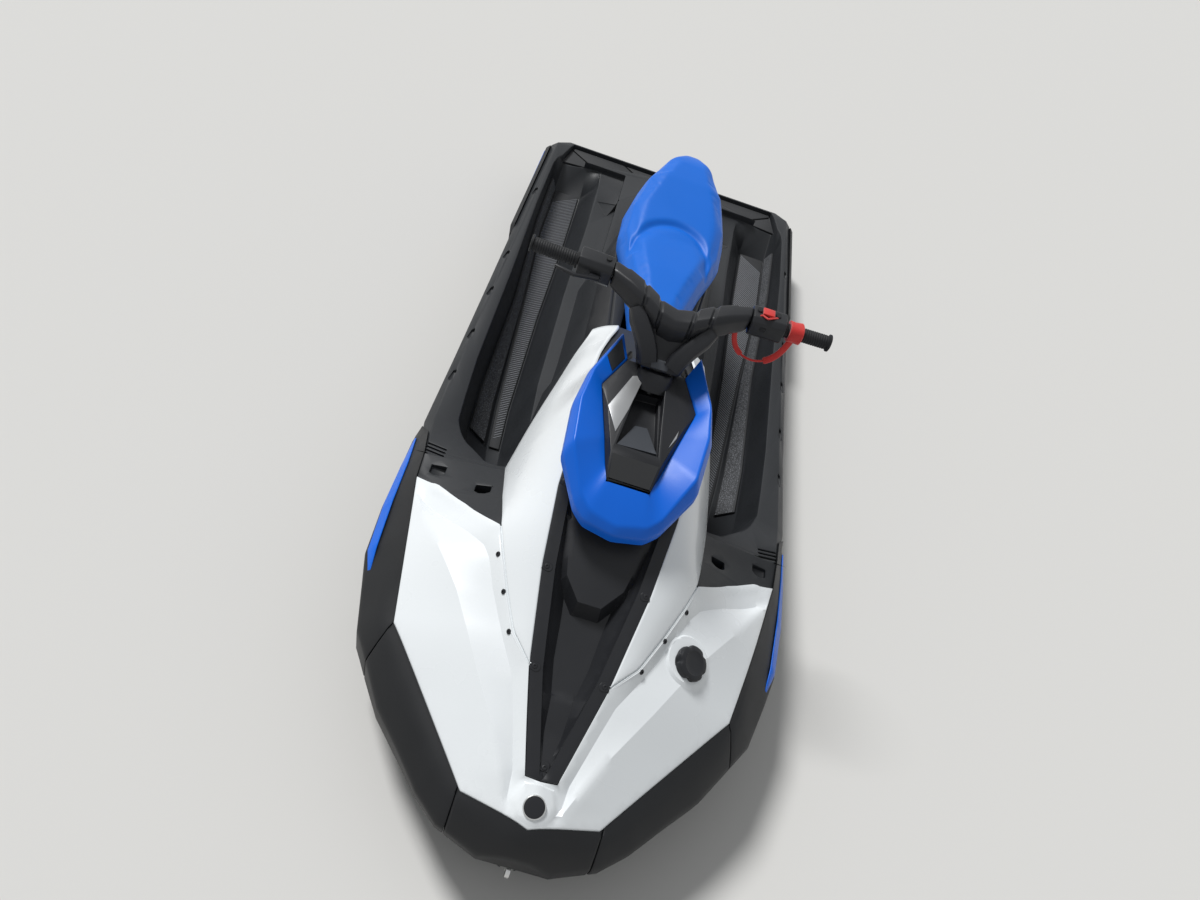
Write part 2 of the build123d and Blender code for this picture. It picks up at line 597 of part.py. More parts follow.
def deck_parts(core, spine):
    """The pan with its footwells alone, the whole deck, and the pedestal on it."""
    rail = prism(whole(RAIL_EDGE + [RAIL_END]), 0.0, WELL_TOP)
    rows = []
    knots = {row[0] for row in GUNWALE} | {row[0] for row in HULL if row[0] < FRONT[0][0]}
    for x in sorted(knots):
        half_top, z_top, half_side = (at(GUNWALE, x, column) for column in (1, 2, 3))
        rows.append((x, [(half_top, z_top), (half_side, z_top - GUNWALE_DROP), (half_side, bond_at(x))]))
    pan = mirrored_loft(rows) - well(1) - well(-1)
    pan = pan - prism(whole(PLATFORM), PLATFORM_Z, WELL_TOP)
    pan = pan - twin(prism(REAR_POCKET, REAR_POCKET_Z, WELL_TOP))
    bay = block(*BAY_X, -BAY_HALF, BAY_HALF, 0.0, BAY_TOP_Z)
    deck = pan + (core & rail) - bay
    pedestal = spine - pan - core - bay
    pedestal = pedestal - block(*HATCH_X, -HATCH_HALF, HATCH_HALF, BAY_TOP_Z - OVERLAP, WELL_TOP)
    return pan, deck, pedestal


def seam(points, width=SEAM):
    """Thin upright walls along a plan line, which cut a visible gap."""
    walls = []
    for (x0, y0), (x1, y1) in zip(points, points[1:]):
        along = Vector(x1 - x0, y1 - y0, 0).normalized()
        ahead = along * width
        across = Vector(-along.Y, along.X, 0) * (width / 2)
        a, b = Vector(x0, y0, 0) - ahead, Vector(x1, y1, 0) + ahead
        corners = [a + across, b + across, b - across, a - across]
        walls.append(prism([(p.X, p.Y) for p in corners], 0.0, WELL_TOP))
        if y0 > 0.0 or y1 > 0.0:
            walls.append(mirror(walls[-1], about=Plane.XZ))
    return walls


def front_panels(shell):
    """The white front deck, the black hood cover, and the front halves of the side cowls."""
    hood_line = HOOD_EDGE[1:]
    gaps = seam(hood_line) + seam(CREASE_EDGE)
    hood = shell & prism(whole(HOOD_EDGE), 0.0, WELL_TOP)
    white = RAIL_EDGE + CREASE_EDGE[::-1] + [HOOD_EDGE[1], HOOD_EDGE[0]]
    deck = shell & prism(whole(white), 0.0, WELL_TOP)
    inner = [HOOD_EDGE[5], HOOD_EDGE[4], HOOD_EDGE[3]]
    corner = (COWL_EDGE[-1][0], HOOD_EDGE[-1][1])
    cowl = shell & prism(CREASE_EDGE + COWL_EDGE + [corner] + inner, 0.0, WELL_TOP)
    deck = deck - gaps - seam(RAIL_EDGE)
    return hood - gaps, deck, cowl - gaps


def cowl_rear(shell):
    """The rear half of one side cowl, on the flank of the spine."""
    rows = [row for row in SPINE if row[0] > COWL_REAR_X]
    low = [(row[0], row[4]) for row in rows]
    flank = profile(low + [(low[-1][0], WELL_TOP), (low[0][0], WELL_TOP)], 0.0, CUT_REACH)
    inner = [(row[0], row[1] - COWL_LIP) for row in rows]
    plan = prism(inner + [(inner[-1][0], CUT_REACH), (inner[0][0], CUT_REACH)], 0.0, WELL_TOP)
    return shell & flank & plan


def bumper_face(row):
    """Rail and lip of the front bumper at one station: x, y_rail, z_rail, y_lip, z_lip."""
    return row[0], row[6], row[7] + PANEL_T, row[8], row[9]


def bumper_section(x, y_rail, z_rail, y_lip, z_lip, z_low, y_in):
    return x, [(y_rail, z_rail), (y_lip, z_lip), (y_lip - LIP_TUCK, z_low), (y_in, z_low)]


def rear_bumper():
    return side_loft([bumper_section(*row, REAR_BUMPER_LOW, row[1]) for row in REAR_BUMPER])


def bumper_parts(outer, pan):
    band = outer - prism(whole(RAIL_EDGE + [RAIL_END]), 0.0, WELL_TOP)
    (x0, y0), (x1, y1) = SHOULDER_SEAM
    side_y = BOW_SEAM_Y + SEAM / 2
    far = 2 * CUT_REACH
    half = SEAM / 2
    bow_x = x1 + far
    ahead = prism([(x0 + half, y0), (x1 + half, y1), (bow_x, y1), (bow_x, side_y), (x0 + half, side_y)],
                  0.0, WELL_TOP)
    behind = prism([(x0 - half, y0), (x1 - half, y1), (x1 - half, far), (0.0, far), (0.0, y0)], 0.0, WELL_TOP)
    centre = band & block(x1, bow_x, -BOW_SEAM_Y + half, BOW_SEAM_Y - half, 0.0, WELL_TOP)
    bow_side = band & ahead
    rows = BUMPER_START + [bumper_face(FRONT[0])]
    start = [bumper_section(*row, bond_at(row[0]), GUNWALE[-1][3]) for row in rows]
    side = (band & behind) + (side_loft(start) - pan)
    save("bow_bumper_center", centre)
    save_pair("bow_bumper", bow_side)
    save_pair("side_bumper_front", side)
    save_pair("side_bumper_rear", rear_bumper())


def stripe_parts():
    faces = BUMPER_START + [bumper_face(row) for row in FRONT]
    rows = []
    for x, inner, outer in FRONT_STRIPE:
        y_rail, z_rail, y_lip, z_lip = (at(faces, x, column) for column in (1, 2, 3, 4))
        rail = Vector(0, y_rail, z_rail)
        slope = Vector(0, y_lip, z_lip) - rail
        out = Vector(0, -slope.Z, slope.Y).normalized()
        low, high = out * STRIPE_GAP, out * (STRIPE_GAP + STRIPE_T)
        corners = [rail + slope * inner + low, rail + slope * outer + low,
                   rail + slope * outer + high, rail + slope * inner + high]
        rows.append((x, [(p.Y, p.Z) for p in corners]))
    save_pair("stripe_front", side_loft(rows))
    (x0, x1), (z0, z1) = REAR_STRIPE_X, REAR_STRIPE_Z
    y = REAR_BUMPER[1][3]
    save_pair("stripe_rear", block(x0, x1, y - REAR_STRIPE_SET, y + STRIPE_T, z0, z1) - rear_bumper())


def mat_parts():
    rows = [row for row in WELL if MAT_X[0] <= row[0] <= MAT_X[1]]
    floor, wedge = [], []
    for x, y_in, y_out, y_wedge, y_rim, z in rows:
        floor.append((x, [(y_in + MAT_EDGE, z), (y_out - MAT_EDGE, z),
                          (y_out - MAT_EDGE, z + MAT_T), (y_in + MAT_EDGE, z + MAT_T)]))
        rise = Vector(0, y_wedge - y_out, WELL_WEDGE_RISE)
        out = Vector(0, -rise.Z, rise.Y).normalized() * MAT_T
        low, high = (Vector(0, y_out, z) + rise * share for share in MAT_WEDGE)
        wedge.append((x, [(p.Y, p.Z) for p in (low, high, high + out, low + out)]))
    save_pair("footwell_mat", [side_loft(floor), side_loft(wedge)])
    mat = prism(whole(PLATFORM_MAT), PLATFORM_Z, PLATFORM_Z + MAT_T)
    for line in PLATFORM_SEAMS:
        mat = mat - seam(line, PLATFORM_GAP)
    save("platform_mat", mat)


def collar_wire(row):
    angle, r_out, z_out, r_ridge, z_ridge, r_in, z_in = row
    ray = (cos(radians(angle)), sin(radians(angle)))
    outline = [(r_out, z_out - COLLAR_SKIRT), (r_out, z_out), (r_ridge, z_ridge), (r_in, z_in),
               (r_in, z_in - COLLAR_DEPTH)]
    return Wire.make_polygon([(COLLAR_X + r * ray[0], r * ray[1], z) for r, z in outline], close=True)


def tilted(outline, z, slope, lift=0.0):
    """A closed mirrored outline on the plane that has height z at its first x."""
    x0 = outline[0][0]
    return Wire.make_polygon([(x, y, z + slope * (x - x0) + lift) for x, y in whole(outline)], close=True)


def steer_at(distance, y=0.0):
    """A point on the steering axis, at a distance from its foot, moved sideways by y."""
    foot = Vector(STEER_FOOT[0], y, STEER_FOOT[1])
    along = Vector(STEER_TOP[0] - STEER_FOOT[0], 0, STEER_TOP[1] - STEER_FOOT[1]).normalized()
    return foot + along * distance


def console_parts(outer, spine_outer):
    back = [(-row[0],) + row[1:] for row in COLLAR[:0:-1]]
    collar = Solid.make_loft([collar_wire(row) for row in back + COLLAR], ruled=True)
    collar = collar - outer - spine_outer
    base = tilted(CONSOLE_EDGE, CONSOLE_Z, CONSOLE_SLOPE)
    foot = tilted(CONSOLE_EDGE, CONSOLE_Z, CONSOLE_SLOPE, -CONSOLE_DEPTH)
    top = tilted(CONSOLE_TOP, CONSOLE_TOP_Z, CONSOLE_TOP_SLOPE)
    console = Solid.make_loft([foot, base], ruled=True) + Solid.make_loft([base, top], ruled=True)
    console += rod(steer_at(-BOSS_R), steer_at(BOSS_H), BOSS_R)
    console -= prism(whole(RECESS), RECESS_Z, WELL_TOP)
    console -= rod(steer_at(-STEER_SOCKET), steer_at(BOSS_H), STEER_SHAFT_R + STEER_CLEAR)
    console -= rod(steer_at(BOSS_H), steer_at(2 * STEM_HIGH), STEM_SWEEP_R)
    console = console - outer - spine_outer - collar
    low, high = (CONSOLE_EDGE[0] + (CONSOLE_Z,)), (CONSOLE_TOP[0] + (CONSOLE_TOP_Z,))
    corners = []
    for share in DISPLAY_SHARE:
        x, y, z = Vector(*low) + (Vector(*high) - Vector(*low)) * share
        corners.append((x, y - DISPLAY_EDGE, z))
    outline = corners + [(x, -y, z) for x, y, z in reversed(corners)]
    display = Solid.make_loft([Wire.make_polygon([(x, y, z + lift) for x, y, z in outline], close=True)
                               for lift in (0.0, DISPLAY_T)], ruled=True)
    save("collar", collar)
    save("console", console)
    save("display", display)


# The handlebar, which turns as one body

def bar_point(y):
    """A point on the handlebar's axis outside the elbow."""
    share = (abs(y) - ELBOW[1]) / (BAR_TIP[1] - ELBOW[1])
    x, _, z = Vector(*ELBOW) + (Vector(*BAR_TIP) - Vector(*ELBOW)) * share
    return Vector(x, y, z)


def bar_sleeve(y0, y1, radius):
    return rod(bar_point(y0), bar_point(y1), radius)


def rect_x_z(centre, width, height, chamfer):
    """A chamfered rectangle in the plane y = constant."""
    x, y, z = centre
    a, b, c = width / 2, height / 2, chamfer
    outline = [(-a, -b + c), (-a, b - c), (-a + c, b), (a - c, b),
               (a, b - c), (a, -b + c), (a - c, -b), (-a + c, -b)]
    return Wire.make_polygon([(x + dx, y, z + dz) for dx, dz in outline], close=True)


def rect_on_axis(distance, width, depth):
    """A rectangle square to the steering axis."""
    plane = Plane(origin=steer_at(distance), x_dir=(0, 1, 0), z_dir=steer_at(1.0) - steer_at(0.0))
    return Wire.make_polygon([plane.from_local_coords((sx * width / 2, sy * depth / 2, 0))
                              for sx, sy in ((-1, -1), (1, -1), (1, 1), (-1, 1))], close=True)


def handlebar_parts():
    mid = Vector(BAR_MID[0], 0, BAR_MID[1])
    bar = Pos(mid) * Sphere(BAR_R)
    for side in (-1, 1):
        elbow = Vector(ELBOW[0], side * ELBOW[1], ELBOW[2])
        tip = Vector(BAR_TIP[0], side * BAR_TIP[1], BAR_TIP[2])
        bar += rod(mid, elbow, BAR_R) + Pos(elbow) * Sphere(BAR_R) + rod(elbow, tip, BAR_R)
    stem_low = BOSS_H + STEM_GAP
    ends = [rect_on_axis(stem_low, *STEM_BASE), rect_on_axis(STEM_HIGH, *STEM_TOP)]
    stem = Solid.make_loft(ends, ruled=True)
    stem += rod(steer_at(STEER_END - STEER_SOCKET), steer_at(stem_low + STEER_END), STEER_SHAFT_R)
    sections = [(-y, *row) for y, *row in reversed(PAD)] + PAD
    pad = Solid.make_loft([rect_x_z((x, y, z), width, height, PAD_CHAMFER)
                           for y, x, z, width, height in sections], ruled=True)
    stem = stem - bar - pad
    pad = pad - bar
    y0, y1 = HOUSING_Y
    width, height = HOUSING
    ends = [rect_x_z(bar_point(y), width, height, HOUSING_CHAMFER) for y in (y0, y1)]
    housing = Solid.make_loft(ends, ruled=True)
    housings = [one - bar for one in twin(housing)]
    grips = [one - bar for one in twin(bar_sleeve(GRIP_START_Y, BAR_TIP[1] - OVERLAP, GRIP_R))]
    wrap = bar_sleeve(*WRAP_Y, GRIP_R + WRAP_T) - bar_sleeve(GRIP_START_Y, BAR_TIP[1], GRIP_R)
    root = bar_point(-LEVER_Y)
    lever = prism([(root.X + x, -y) for x, y in LEVER], root.Z - LEVER_T / 2, root.Z + LEVER_T / 2)
    lever = lever - housings[1]
    key = bar_point(KEY_Y)
    clip = block(key.X - KEY[0] / 2, key.X + KEY[0] / 2, KEY_Y - KEY[1] / 2, KEY_Y + KEY[1] / 2,
                 key.Z, key.Z + HOUSING[1] / 2 + KEY[2]) - housings[0] - bar
    path = FilletPolyline(*LANYARD, radius=lanyard_radii())
    plane = Plane(origin=path @ 0, z_dir=path % 0)
    cord = sweep(plane * Circle(CORD_R), path=path) - wrap - pad
    save("steering_stem", stem)
    save("handlebar", bar)
    save("handlebar_pad", pad)
    save("grips", grips)
    save("switch_housings", housings)
    save("throttle_lever", lever)
    save("grip_wrap", wrap)
    save("stop_switch_clip", clip)
    save("lanyard", cord)


def lanyard_radii():
    """One bend radius for each corner of the lanyard, as large as its runs allow."""
    radii = []
    for a, b, c in zip(LANYARD, LANYARD[1:], LANYARD[2:]):
        before, after = Vector(*b) - Vector(*a), Vector(*c) - Vector(*b)
        turn = before.get_angle(after)
        radii.append(BEND_SHARE * min(before.length, after.length) / tan(radians(turn / 2)))
    print("lanyard radii", [round(r, 1) for r in radii])
    return radii


def seat_part():
    low = SEAT_BASE_Z + SEAT_GAP
    rows = []
    for x, half_base, half_wide, z_wide, half_top, z_top in SEAT:
        shoulder = half_top + SEAT_SHOULDER * (half_wide - half_top)
        outline = [(half_top, z_top), (shoulder, z_top - SEAT_ROUND), (half_wide, z_wide), (half_base, low)]
        rows.append((x, outline))
    save("seat", mirrored_loft(rows))


def cap_part(outer):
    x, y = CAP_AT
    centre = Vector(x, y, CAP_DECK_Z)
    axis = Vector(*CAP_AXIS).normalized()
    cap = rod(centre - axis * CAP_H, centre + axis * CAP_H, CAP_R)
    low, high = (centre + axis * CAP_H * share for share in CAP_NOTCH_SPAN)
    knurl = rod(low, high, CAP_NOTCH_R)
    plane = Plane(origin=centre, z_dir=axis)
    for number in range(CAP_NOTCHES):
        turn = radians(360.0 * number / CAP_NOTCHES)
        at_rim = plane.from_local_coords((CAP_R * cos(turn), CAP_R * sin(turn), 0)) - centre
        cap -= Pos(at_rim) * knurl
    save("fuel_cap", cap - outer)


def save_pair(name, shape):
    """One piece for each side of the craft."""
    port = shape if isinstance(shape, list) else [shape]
    save(f"{name}_port", port)
    save(f"{name}_starboard", [mirror(one, about=Plane.XZ) for one in port])


def main():
    hull_parts()
    eye_parts()
    pump_parts()
    core, outer, spine, spine_outer = deck_masters()
    pan, deck, pedestal = deck_parts(core, spine)
    save("deck", deck)
    save("pedestal", pedestal)
    shell = outer - core
    flank = spine_outer - spine
    hood, front, cowl = front_panels(shell)
    save("hood_cover", hood)
    save("front_deck", front)
    save_pair("side_cowl", cowl + cowl_rear(flank))
    x0, x1 = SIDE_PANEL_X
    save("pedestal_panels", twin(flank & block(x0, x1, SIDE_PANEL_Y, CUT_REACH, *SIDE_PANEL_Z)))
    bumper_parts(outer, pan)
    stripe_parts()
    mat_parts()
    console_parts(outer, spine_outer)
    cap_part(outer)
    seat_part()
    handlebar_parts()


main()
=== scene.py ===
import json
from math import cos, pi, radians, sin, sqrt

import bmesh
import bpy
import numpy as np
from bpy.props import FloatProperty, FloatVectorProperty, IntProperty, PointerProperty
from mathutils import Matrix, Vector
from mathutils.geometry import delaunay_2d_cdt
from mathutils.kdtree import KDTree


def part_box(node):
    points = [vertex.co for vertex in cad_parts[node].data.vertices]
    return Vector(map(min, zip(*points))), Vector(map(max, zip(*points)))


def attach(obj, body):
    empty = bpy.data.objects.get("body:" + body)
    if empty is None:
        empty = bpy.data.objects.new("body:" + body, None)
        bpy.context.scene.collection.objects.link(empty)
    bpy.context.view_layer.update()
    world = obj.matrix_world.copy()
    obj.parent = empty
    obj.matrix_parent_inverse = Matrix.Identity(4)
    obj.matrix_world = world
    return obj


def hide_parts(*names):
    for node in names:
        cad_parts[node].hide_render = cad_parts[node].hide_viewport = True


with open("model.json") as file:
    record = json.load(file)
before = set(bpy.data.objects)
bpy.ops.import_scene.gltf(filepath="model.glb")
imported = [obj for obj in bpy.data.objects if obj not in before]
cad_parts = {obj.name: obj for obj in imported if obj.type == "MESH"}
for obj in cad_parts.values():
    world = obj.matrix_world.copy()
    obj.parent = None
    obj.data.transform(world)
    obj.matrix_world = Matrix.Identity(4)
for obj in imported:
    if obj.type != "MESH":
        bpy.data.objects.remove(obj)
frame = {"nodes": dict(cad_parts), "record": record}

bl_info = {
    "name": "Personal watercraft",
    "version": (1, 0, 0),
    "blender": (4, 5, 0),
    "location": "3D View > Sidebar > Watercraft",
    "description": "Dresses the packed CAD model of a sit-down personal watercraft",
    "category": "Object",
}

# All tables below are in millimetres, in the frame of the CAD model.
MM = 0.001
SIDES = ((1, "port"), (-1, "starboard"))
X, Y, Z = (1, 0, 0), (0, 1, 0), (0, 0, 1)
# Points closer than this, in metres, are joined
MERGE = 1e-6
ONE = (1.0, 1.0, 1.0)
SLOT = {row["node"]: row["material_slot"] for row in frame["record"]["subparts"]}
BODY = {node: body for body, nodes in frame["record"]["behaviour"]["bodies"].items() for node in nodes}

# The camera looks from the place that the photograph was taken from
CAMERA_AT = (2.2900, -0.2425, 2.2660)
CAMERA_RIGHT = (-0.16912, 0.94926, 0.26515)
CAMERA_DOWN = (0.69192, 0.30594, -0.65395)
CAMERA_AHEAD = (-0.70189, 0.07287, -0.70855)
CAMERA_LENS = 28.125

# Front deck: x, z_mid, y_hood, z_hood, y_crease, z_crease, y_rail, z_rail, y_lip, z_lip
SKIN = 6.0
FRONT = [
    (610.0, 672.0, 150.0, 690.0, 284.0, 386.0, 504.0, 356.0, 562.0, 262.0),
    (750.0, 618.0, 146.0, 640.0, 268.0, 440.0, 494.0, 350.0, 564.0, 258.0),
    (900.0, 552.0, 138.0, 572.0, 246.0, 492.0, 476.0, 342.0, 556.0, 252.0),
    (1112.0, 454.0, 106.0, 470.0, 156.0, 450.0, 418.0, 318.0, 500.0, 240.0),
    (1280.0, 386.0, 70.0, 396.0, 96.0, 392.0, 300.0, 298.0, 392.0, 230.0),
    (1438.0, 336.0, 26.0, 332.0, 42.0, 328.0, 158.0, 284.0, 250.0, 222.0),
    (1492.0, 304.0, 16.0, 303.0, 30.0, 302.0, 60.0, 298.0, 186.0, 216.0),
    (1532.0, 240.0, 8.0, 239.0, 16.0, 239.0, 26.0, 239.0, 84.0, 214.0),
]
HOOD_EDGE = [(1398.0, 0.0), (1394.0, 36.0), (1187.0, 94.0), (982.0, 132.0), (810.0, 150.0), (750.0, 150.0)]
CREASE_EDGE = [(1187.0, 94.0), (1124.0, 150.0), (1040.0, 190.0), (954.0, 226.0), (881.0, 251.0)]
RAIL_EDGE = [(1488.0, 0.0), (1438.0, 158.0), (1112.0, 418.0), (697.0, 498.0)]
AFT_EDGE = [(724.0, 432.0), (786.0, 350.0), (842.0, 292.0), (874.0, 258.0)]
SEAM_HALF = 1.0
PANEL_GAP = 0.6

# Forms pressed into the white front deck, on the port side: a steep band runs along the hood down to FACET
RIDGE = [(740.0, 495.0), (922.0, 385.0), (1040.0, 302.0), (1196.0, 210.0), (1316.0, 134.0), (1448.0, 62.0)]
FACET = [(742.0, 492.0), (783.0, 449.0), (860.0, 348.0), (924.0, 274.0), (958.0, 252.0), (1024.0, 224.0),
         (1135.0, 166.0), (1212.0, 121.0), (1280.0, 98.0), (1385.0, 64.0), (1430.0, 60.0)]
FACET_DROP = 15.0
RIDGE_RISE = 9.0
FORM_FADE = 70.0
FORM_X = (742.0, 1470.0)
AFT_BAND = 26.0
AFT_RISE = 4.0
BADGE_PAD = [(1404.0, -34.0), (1404.0, 34.0), (1440.0, 54.0), (1474.0, 34.0), (1482.0, 0.0), (1474.0, -34.0),
             (1440.0, -54.0)]
BADGE_AT = (1450.0, 0.0)
BADGE_R = 25.0
# Its steel rim and its disc: inwards from that radius, and height
BADGE_RIM = ((0.0, -2.0), (0.0, 2.2), (1.0, 3.0), (2.2, 3.0), (2.8, -2.0))
BADGE_DISC = ((2.5, -1.5), (2.5, 1.6), (5.0, 2.2), (12.0, 2.6))
PAD_RISE = 5.0
PAD_EASE = 5.0

# Fuel cap: its place and axis, then shares of its radius at heights up the skirt, the groove, the knob and its dish
CAP_AT = (1050.0, 268.0)
CAP_Z = 418.0
CAP_AXIS = (0.24, 0.46, 0.86)
CAP_R = 44.0
CAP_STEPS = [(1.0, -10.0), (1.0, 5.0), (0.97, 7.0), (0.95, 7.5), (0.97, 9.0), (0.97, 22.0), (0.92, 26.0), (0.84, 28.0),
             (0.66, 28.5), (0.60, 27.0), (0.3, 26.5), (0.06, 26.5)]
# The finger scoops bite into the knob's side, above this height and outside this share of the radius
CAP_COUNT = 96
CAP_LOBES = 5
CAP_BITE = 0.11
CAP_BITE_Z = 8.0
CAP_BITE_R = 0.7
# The ring pressed into the deck round the cap
CAP_RING_R = (48.0, 52.0, 58.0)
CAP_RING_RISE = 7.0

# The black hood: rim strips, valley and scoop. x, half floor, depth below the rims
VALLEY = [(740.0, 84.0, 36.0), (900.0, 76.0, 54.0), (1060.0, 50.0, 50.0), (1141.0, 42.0, 42.0), (1214.0, 27.0, 33.0),
          (1220.0, 26.0, 28.0), (1300.0, 20.0, 20.0), (1372.0, 14.0, 8.0), (1398.0, 12.0, 5.0)]
RIM_W = 31.0
RIM_STEP = 5.0
RIM_STEP_RUN = 3.0
# The rims rise a little towards the nose: from x, by a slope, up to a limit
NOSE_RISE = (1380.0, 0.05, 4.0)
VALLEY_BREAK = [(1216.0, -24.0), (1216.0, 24.0)]
SCOOP = [(730.0, 116.0), (870.0, 102.0), (940.0, 91.0), (988.0, 79.0), (1042.0, 33.0)]
SCOOP_DROP = 12.0
SCOOP_FACE = 11.0
SCOOP_HALF = 100.0
SCOOP_CROWN = 6.0
SCOOP_BACK_X = 760.0

# Side cowl: x, y_in, z_in, y_out, z_out, with the skin
COWL = [
    (120.0, 106.0, 566.0, 172.0, 520.0),
    (140.0, 104.0, 606.0, 174.0, 562.0),
    (260.0, 126.0, 646.0, 202.0, 548.0),
    (380.0, 144.0, 674.0, 228.0, 522.0),
    (500.0, 150.0, 690.0, 262.0, 452.0),
    (610.0, 151.0, 696.0, 287.0, 392.0),
]
# Its outer edge ahead of that table: x, y
COWL_OUT = [(610.0, 287.0), (750.0, 270.0), (881.0, 250.0), (954.0, 225.0), (1040.0, 189.0), (1124.0, 149.0),
            (1185.0, 95.0)]
COWL_CROWN = 7.0
COWL_CROWN_WIDE = 120.0
COWL_STEP = 14.0
# A white flange lies under the seam of the cowl, so that no black shows through it
COWL_FLANGE = (5.0, 1.5)
COWL_FLANGE_DROP = 5.5

# Screws on the port side, and the one at the hood's tip: x, y. The outline is that of the tab under a hood screw
COWL_SCREWS = [(957.0, 234.0), (1041.0, 196.0), (1124.0, 158.0)]
HOOD_SCREWS = [(799.0, 138.0), (986.0, 120.0), (1187.0, 82.0)]
TIP_SCREW = (1368.0, 0.0)
TAB_PLAN = [(-8.0, -10.0), (9.0, -10.0), (14.0, -5.0), (15.0, 0.0), (14.0, 5.0), (9.0, 10.0), (-8.0, 10.0)]
TAB_RINGS = ((1.0, -3.0), (1.0, 1.0), (0.92, 1.8))
# The hood's screws stand on their tabs
SCREW_LIFT = 0.6
# A screw's head, its hexagon socket, and the button of a switch: share of the radius, or radius, and height
SCREW_RINGS = ((0.98, -1.0), (1.0, 1.4), (0.86, 2.6), (0.6, 3.1), (0.42, 3.2))
SOCKET_RINGS = ((0.40, 1.4), (0.1, 1.2))
SCREW_COUNT = 18
BUTTON_RINGS = ((9.0, 0.0), (9.0, 3.5), (8.0, 5.0), (5.0, 5.2))

# Bow and side bumpers on the port side, from the bow aft: x and y on the rail, then on the lip
BOW_CENTER = [(1488.0, 0.0, 1532.0, 0.0), (1480.1, 25.0, 1532.0, 30.0), (1468.4, 62.0, 1532.0, 84.0),
              (1452.0, 114.0, 1515.0, 127.4), (1438.0, 158.0, 1503.0, 158.0), (1429.2, 165.0, 1500.2, 165.0)]
BOW_SIDE = [(1429.2, 165.0, 1500.2, 165.0), (1408.0, 182.0, 1492.0, 186.0), (1372.0, 210.6, 1438.0, 250.0),
            (1300.0, 268.0, 1362.0, 317.6), (1215.0, 335.9, 1280.0, 392.0), (1150.0, 387.7, 1225.0, 427.4),
            (1111.7, 418.2, 1184.7, 453.3)]
BUMPER_SIDE = [(1111.7, 418.2, 1184.7, 453.3), (1090.0, 422.2, 1140.0, 482.0), (1060.0, 428.0, 1112.0, 500.0),
               (970.0, 445.4, 990.0, 532.2), (880.0, 462.7, 900.0, 556.0), (745.0, 488.7, 750.0, 564.0),
               (697.0, 498.0, 697.0, 563.3), (610.0, 504.0, 610.0, 562.0)]
# x, y, z on the rail, then on the lip
BUMPER_TAIL = [(500.0, 522.0, 326.0, 500.0, 562.0, 258.0), (455.0, 550.0, 288.0, 455.0, 562.0, 240.0)]
REAR_BUMPER = [(-690.0, 550.0, 222.0, -690.0, 558.0, 208.0), (-730.0, 550.0, 242.0, -730.0, 566.0, 224.0),
               (-1395.0, 550.0, 220.0, -1395.0, 566.0, 202.0), (-1418.0, 550.0, 204.0, -1418.0, 560.0, 190.0)]
REAR_BUMPER_LOW = 138.0
BOND = [(0.0, 90.0), (520.0, 106.0), (900.0, 132.0), (1112.0, 148.0), (1280.0, 162.0), (1438.0, 176.0), (1492.0, 182.0)]
LIP_TUCK = 6.0
# The pad raised on the bumper's face: share of the way down it, and rise
BUMPER_CROWN = [(0.07, 1.0), (0.16, 7.0), (0.5, 8.0), (0.86, 5.0)]
BUMPER_WIDE = 90.0
# The pad fades out over this stretch, and the stripe lies on the flat face aft of it
PAD_X = (970.0, 1080.0)

# Collar round the console: angle from the bow, r_out, z_out, r_ridge, z_ridge, r_in, z_in
COLLAR_X = 655.0
COLLAR_SKIRT = 24.0
COLLAR_DEPTH = 60.0
COLLAR_EASE = 6.0
COLLAR_COUNT = 121
COLLAR_RADII = (2.0, 5.0, 7.0, 6.0, 2.0)
COLLAR = [
    (0.0, 272.0, 638.0, 259.0, 660.0, 177.0, 712.0),
    (16.0, 268.0, 643.0, 254.0, 668.0, 184.0, 712.0),
    (24.0, 256.0, 656.0, 241.0, 684.0, 152.0, 714.0),
    (50.0, 216.0, 710.0, 196.0, 748.0, 105.0, 732.0),
    (90.0, 176.0, 742.0, 162.0, 770.0, 99.0, 744.0),
    (122.0, 190.0, 760.0, 178.0, 786.0, 143.0, 760.0),
    (156.0, 262.0, 796.0, 254.0, 806.0, 187.0, 780.0),
]
COLLAR_PLATE = [(442.5, -105.0, 801.4), (487.8, -83.2, 780.6), (537.5, -105.9, 770.6), (509.3, -129.0, 791.4)]

# Console top: its plane falls towards the bow. Plan outlines of the well, its ramp and the bright facets
CONSOLE_Z = 744.0
CONSOLE_X = 770.0
CONSOLE_SLOPE = -0.12
CONSOLE_WELL = [(549.0, -29.0), (545.0, 27.0), (741.0, 47.0), (748.0, -53.0)]
CONSOLE_WELL_Z = 716.0
CONSOLE_RAMP = [(640.0, -14.0, 717.0), (636.0, 16.0, 717.0), (739.0, 45.0, 744.0), (746.0, -51.0, 744.0)]
CONSOLE_FACETS = (
    [(533.0, -54.0), (520.0, -24.0), (640.0, -44.0), (716.0, -62.0), (646.0, -94.0)],
    [(655.0, 86.0), (680.0, 84.0), (718.0, 68.0)],
)
FACET_LIFT = 2.0

